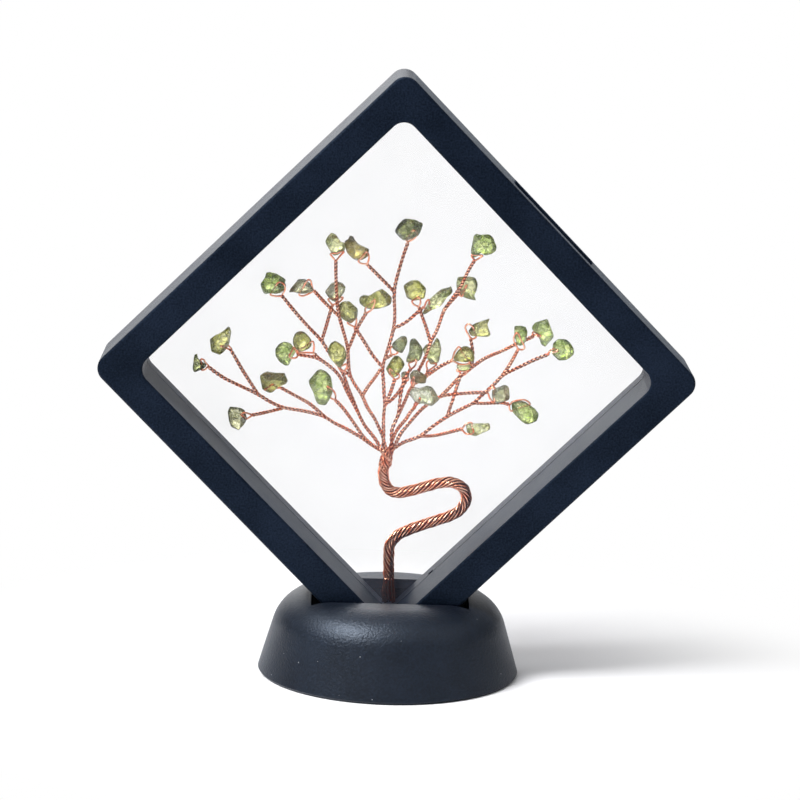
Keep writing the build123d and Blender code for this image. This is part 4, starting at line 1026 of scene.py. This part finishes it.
def tree_points():
    """All points of wire and stone, in millimetres."""
    found = []
    for piece in scene.objects:
        if piece.type == "MESH" and piece.name.endswith(("_wires", "_stone")):
            flat = np.empty(len(piece.data.vertices) * 3)
            piece.data.vertices.foreach_get("co", flat)
            found.append(flat.reshape(-1, 3) / MM)
    return np.vstack(found)


def refined(film, size):
    """The same heights on a finer square grid."""
    old, new = np.linspace(0, 1, len(film)), np.linspace(0, 1, size)
    film = np.array([np.interp(new, old, row) for row in film])
    return np.array([np.interp(new, old, column) for column in film.T]).T


def film_heights(points, side):
    """The film's height over the seam on a square grid. Side -1 is the front."""
    local = points - CASE_MIDDLE
    across = local @ UPPER_RIGHT / WINDOW_SIDE + 0.5
    along = local @ UPPER_LEFT / WINDOW_SIDE + 0.5
    height = side * (points[:, 1] - FILM_Y) + FILM_GAP
    film = None
    for size in COARSE_TO_FINE:
        column, row = [np.rint(share * (size - 1)).astype(int) for share in (across, along)]
        tree = np.zeros((size, size))
        inside = (column > 0) & (column < size - 1) & (row > 0) & (row < size - 1)
        np.maximum.at(tree, (row[inside], column[inside]), height[inside])
        film = tree.copy() if film is None else refined(film, size)
        for _ in range(ROUNDS):
            mean = (film[:-2, 1:-1] + film[2:, 1:-1] + film[1:-1, :-2] + film[1:-1, 2:]) / 4
            film[1:-1, 1:-1] = np.maximum(mean, tree[1:-1, 1:-1])
    return film


print("films on a grid of", GRID, "by", GRID)

# %% [markdown]
# Face on, a clear film is almost nothing. At a slant more of it shows: its real
# gloss, and its pale colour as a painted sheen. A thin dark line runs just inside
# the window's upper right edge.

# %% The films
DARK_STRIPE_FROM_EDGE = 0.55


def film_finish():
    """Clear elastic film with a painted sheen at a slant and one thin dark line."""
    material, flow, shader = finish_named("clear_film")
    place = place_on(flow)
    # Painted sheen: at a slant the film's alpha rises, so its real gloss and its pale colour show more.
    slant = flow.make("ShaderNodeLayerWeight", None, {"Blend": 0.25}, output=1)
    haze = noise(flow, place, 14)
    line = (CASE_MIDDLE @ UPPER_RIGHT + WINDOW_SIDE / 2 - DARK_STRIPE_FROM_EDGE) * MM
    # A thin dark line in colour and alpha, 0.55 mm inside the window's upper right edge.
    dark_stripe = 1 - flow.maths("ABSOLUTE", to_upper_right(flow, place) - line).within(0.05 * MM, 0.13 * MM)
    feed(slant * 0.2 + haze * 0.03 + dark_stripe * 0.55 + 0.006, shader, "Alpha")
    feed(dark_stripe.blend((0.70, 0.75, 0.95), (0.03, 0.03, 0.04)), shader, "Base Color")
    feed(haze * 0.1 + 0.08, shader, "Roughness")
    hold(shader, Specular_IOR_Level=0.6)
    return material


clear_film = film_finish()


def make_film(name, side, body, node):
    """One film as a thin closed sheet."""
    heights = film_heights(tree_points(), side)
    across = np.linspace(-WINDOW_SIDE / 2 - FILM_LAP, WINDOW_SIDE / 2 + FILM_LAP, GRID)
    column, row = np.meshgrid(across, across)
    flat = CASE_MIDDLE + column[..., None] * UPPER_RIGHT + row[..., None] * UPPER_LEFT
    level = np.maximum(heights, FILM_GAP)
    sheet = flat + np.array([0, 1, 0]) * (FILM_Y + side * level[..., None])
    index = np.arange(GRID * GRID).reshape(GRID, GRID)
    corners = [index[:-1, :-1], index[:-1, 1:], index[1:, 1:], index[1:, :-1]]
    faces = np.stack(corners, axis=-1).reshape(-1, 4)
    shells = Shells()
    shells.points.append(sheet.reshape(-1, 3))
    shells.faces = [tuple(face) for face in faces.tolist()]
    piece = shells.piece(name, clear_film, body, "clear_film", node)
    thick = piece.modifiers.new("thickness", "SOLIDIFY")
    thick.thickness = FILM_THICK * MM
    thick.offset = 0
    print(name, "stands", round(float(heights.max()), 2), "mm over the seam")


make_film("front_film_sheet", -1, "case_front", "front_film")
make_film("back_film_sheet", 1, "case_back", "back_film")

# %% [markdown]
# ## Black plastic
#
# Case and base are moulded in one black plastic. Its mould was lightly blasted,
# so the skin has a fine grain that breaks up every highlight, with a slow change
# of gloss where the plastic cooled unevenly. The base shines more and has specks
# of dust. The case has a fine groove where its halves meet, and the tab on its
# upper right edge is rougher. The inside of the slot is the dullest.

# %% Plastic and pin finishes
DUST = (0.30, 0.32, 0.35)
NAVY = (0.55, 0.75, 1.0)
PALE = (0.70, 0.82, 1.0)


def plastic_finish(name, deep, light, grain_mm, gloss, rough, tint, dusty=0.0, case=False):
    """Black plastic from a deep to a light tone, with a grain. Tint is the colour of its gloss."""
    material, flow, shader = finish_named(name)
    place = place_on(flow)
    grain = noise(flow, place, grain_mm, detail=3)
    sheen = noise(flow, place, 12)
    skin = (grain * 0.65 + sheen * 0.35).within(0.3, 0.72).blend(deep, light)
    dust = (1 - cells(flow, place, 3).within(0.03, 0.05)) * dusty
    feed(dust.blend(skin, DUST), shader, "Base Color")
    dull = grain * 0.16 + sheen * 0.1 + rough
    relief = grain * 0.3
    if case:
        wall = CASE_MIDDLE @ UPPER_RIGHT + CASE_SIDE / 2
        dull = dull + to_upper_right(flow, place).within((wall - 0.02) * MM, (wall + 0.06) * MM) * 0.5
        from_seam = flow.maths("ABSOLUTE", parts_of(flow, place)[1] - FILM_Y * MM)
        relief = relief + from_seam.within(0.06 * MM, 0.22 * MM) * 0.7
    feed(dull, shader, "Roughness")
    hold(shader, Specular_IOR_Level=gloss, Specular_Tint=(*tint, 1))
    hold(shader, Sheen_Weight=0.06, Sheen_Roughness=0.35, Sheen_Tint=(*PALE, 1))
    bump(flow, shader, relief, 0.32, 1.0)
    return material


def pin_finish():
    """Drawn steel wire."""
    material, flow, shader = finish_named("pin_steel")
    place = place_on(flow)
    lines = noise(flow, place, 0.2)
    feed(lines.blend((0.42, 0.42, 0.44), (0.62, 0.62, 0.64)), shader, "Base Color")
    feed(lines * 0.2 + 0.25, shader, "Roughness")
    hold(shader, Metallic=1.0)
    return material


case_plastic = plastic_finish("case_plastic", (0.0005, 0.002, 0.006), (0.009, 0.015, 0.030),
                              grain_mm=0.4, gloss=0.11, rough=0.27, tint=NAVY, case=True)
base_plastic = plastic_finish("base_plastic", (0.0002, 0.0006, 0.003), (0.004, 0.008, 0.017),
                              grain_mm=0.5, gloss=0.50, rough=0.31, tint=PALE, dusty=1.0)
slot_plastic = plastic_finish("slot_plastic", (0.0005, 0.001, 0.002), (0.001, 0.002, 0.004),
                              grain_mm=0.5, gloss=0.03, rough=0.72, tint=NAVY)
steel = pin_finish()
finishes = {"front_frame": case_plastic, "back_frame": case_plastic, "base_shell": base_plastic,
            "base_slot_box": slot_plastic, "hinge_pin_lower": steel, "hinge_pin_upper": steel}
for node, finish in finishes.items():
    nodes[node].data.materials[0] = finish
    print(node, "gets", finish.name)

# %% [markdown]
# ## Floor and background
#
# The floor is a plain matte white. Away from the base it turns into the same
# white as the background, so that no horizon shows. The background is white only
# to the eye. Metal and plastic mirror a tent that is bright above, behind and in
# a low strip in front, and dark elsewhere; glass sees it bright behind. What
# lights the object is a weaker grey, so black plastic stays black.

# %% Floor and world
HALF_FLOOR = 3.0
WHITE_FROM, WHITE_TO = 0.035, 0.11


def make_floor():
    """The ground that the base stands on."""
    mesh = bpy.data.meshes.new("floor")
    corners = [(x * HALF_FLOOR, y * HALF_FLOOR, 0) for x, y in ((-1, -1), (1, -1), (1, 1), (-1, 1))]
    mesh.from_pydata(corners, [], [(0, 1, 2, 3)])
    floor = bpy.data.objects.new("floor", mesh)
    scene.collection.objects.link(floor)
    material, flow, shader = finish_named("floor")
    hold(shader, Base_Color=(0.86, 0.86, 0.88, 1), Roughness=0.9)
    glow = flow.make("ShaderNodeEmission", None, {"Color": (1, 1, 1, 1), "Strength": 1.0})
    away = flow.make("ShaderNodeVectorMath", {"operation": "LENGTH"}, {0: place_on(flow)}, output=1)
    far = away.within(WHITE_FROM, WHITE_TO) * kinds_of_ray(flow, "Is Camera Ray")[0]
    mixed = flow.make("ShaderNodeMixShader", None, {0: far, 1: Flow(flow.tree, shader.outputs[0]), 2: glow})
    flow.tree.links.new(mixed.plug, flow.tree.nodes["Material Output"].inputs["Surface"])
    mesh.materials.append(material)


def make_world():
    """White to the eye, a tent to mirrors, bright behind to glass, weak grey to all else."""
    world = bpy.data.worlds.new("studio")
    scene.world = world
    world.use_nodes = True
    flow = Flow(world.node_tree)
    way = flow.make("ShaderNodeTexCoord", output=0)
    side, back, height = parts_of(flow, way)
    eye, mirror, glass = kinds_of_ray(flow, "Is Camera Ray", "Is Glossy Ray", "Is Transmission Ray")
    roof = height.within(0.3, 0.9) * 0.9
    wall = back.within(0.76, 1.0) * (2.3 - side.within(-0.3, 0.3) * 1.6)
    strip = (1 - back.within(-0.9, 0.0)) * (0.60 - height.within(0.0, 0.3) * 0.56)
    tent = roof + wall + strip + 0.06
    behind = back.within(0.35, 0.9) * 0.8 + 0.2
    grey = height.within(-0.2, 1.0) * 0.35 + 0.12
    other = flow.maths("MAXIMUM", 1 - eye - mirror - glass, 0.0)
    strength = eye + mirror * tent + glass * behind + other * grey
    background = world.node_tree.nodes["Background"]
    hold(background, Color=(1, 1, 1, 1))
    feed(strength, background, "Strength")


make_floor()
make_world()
print("floor and background are set")
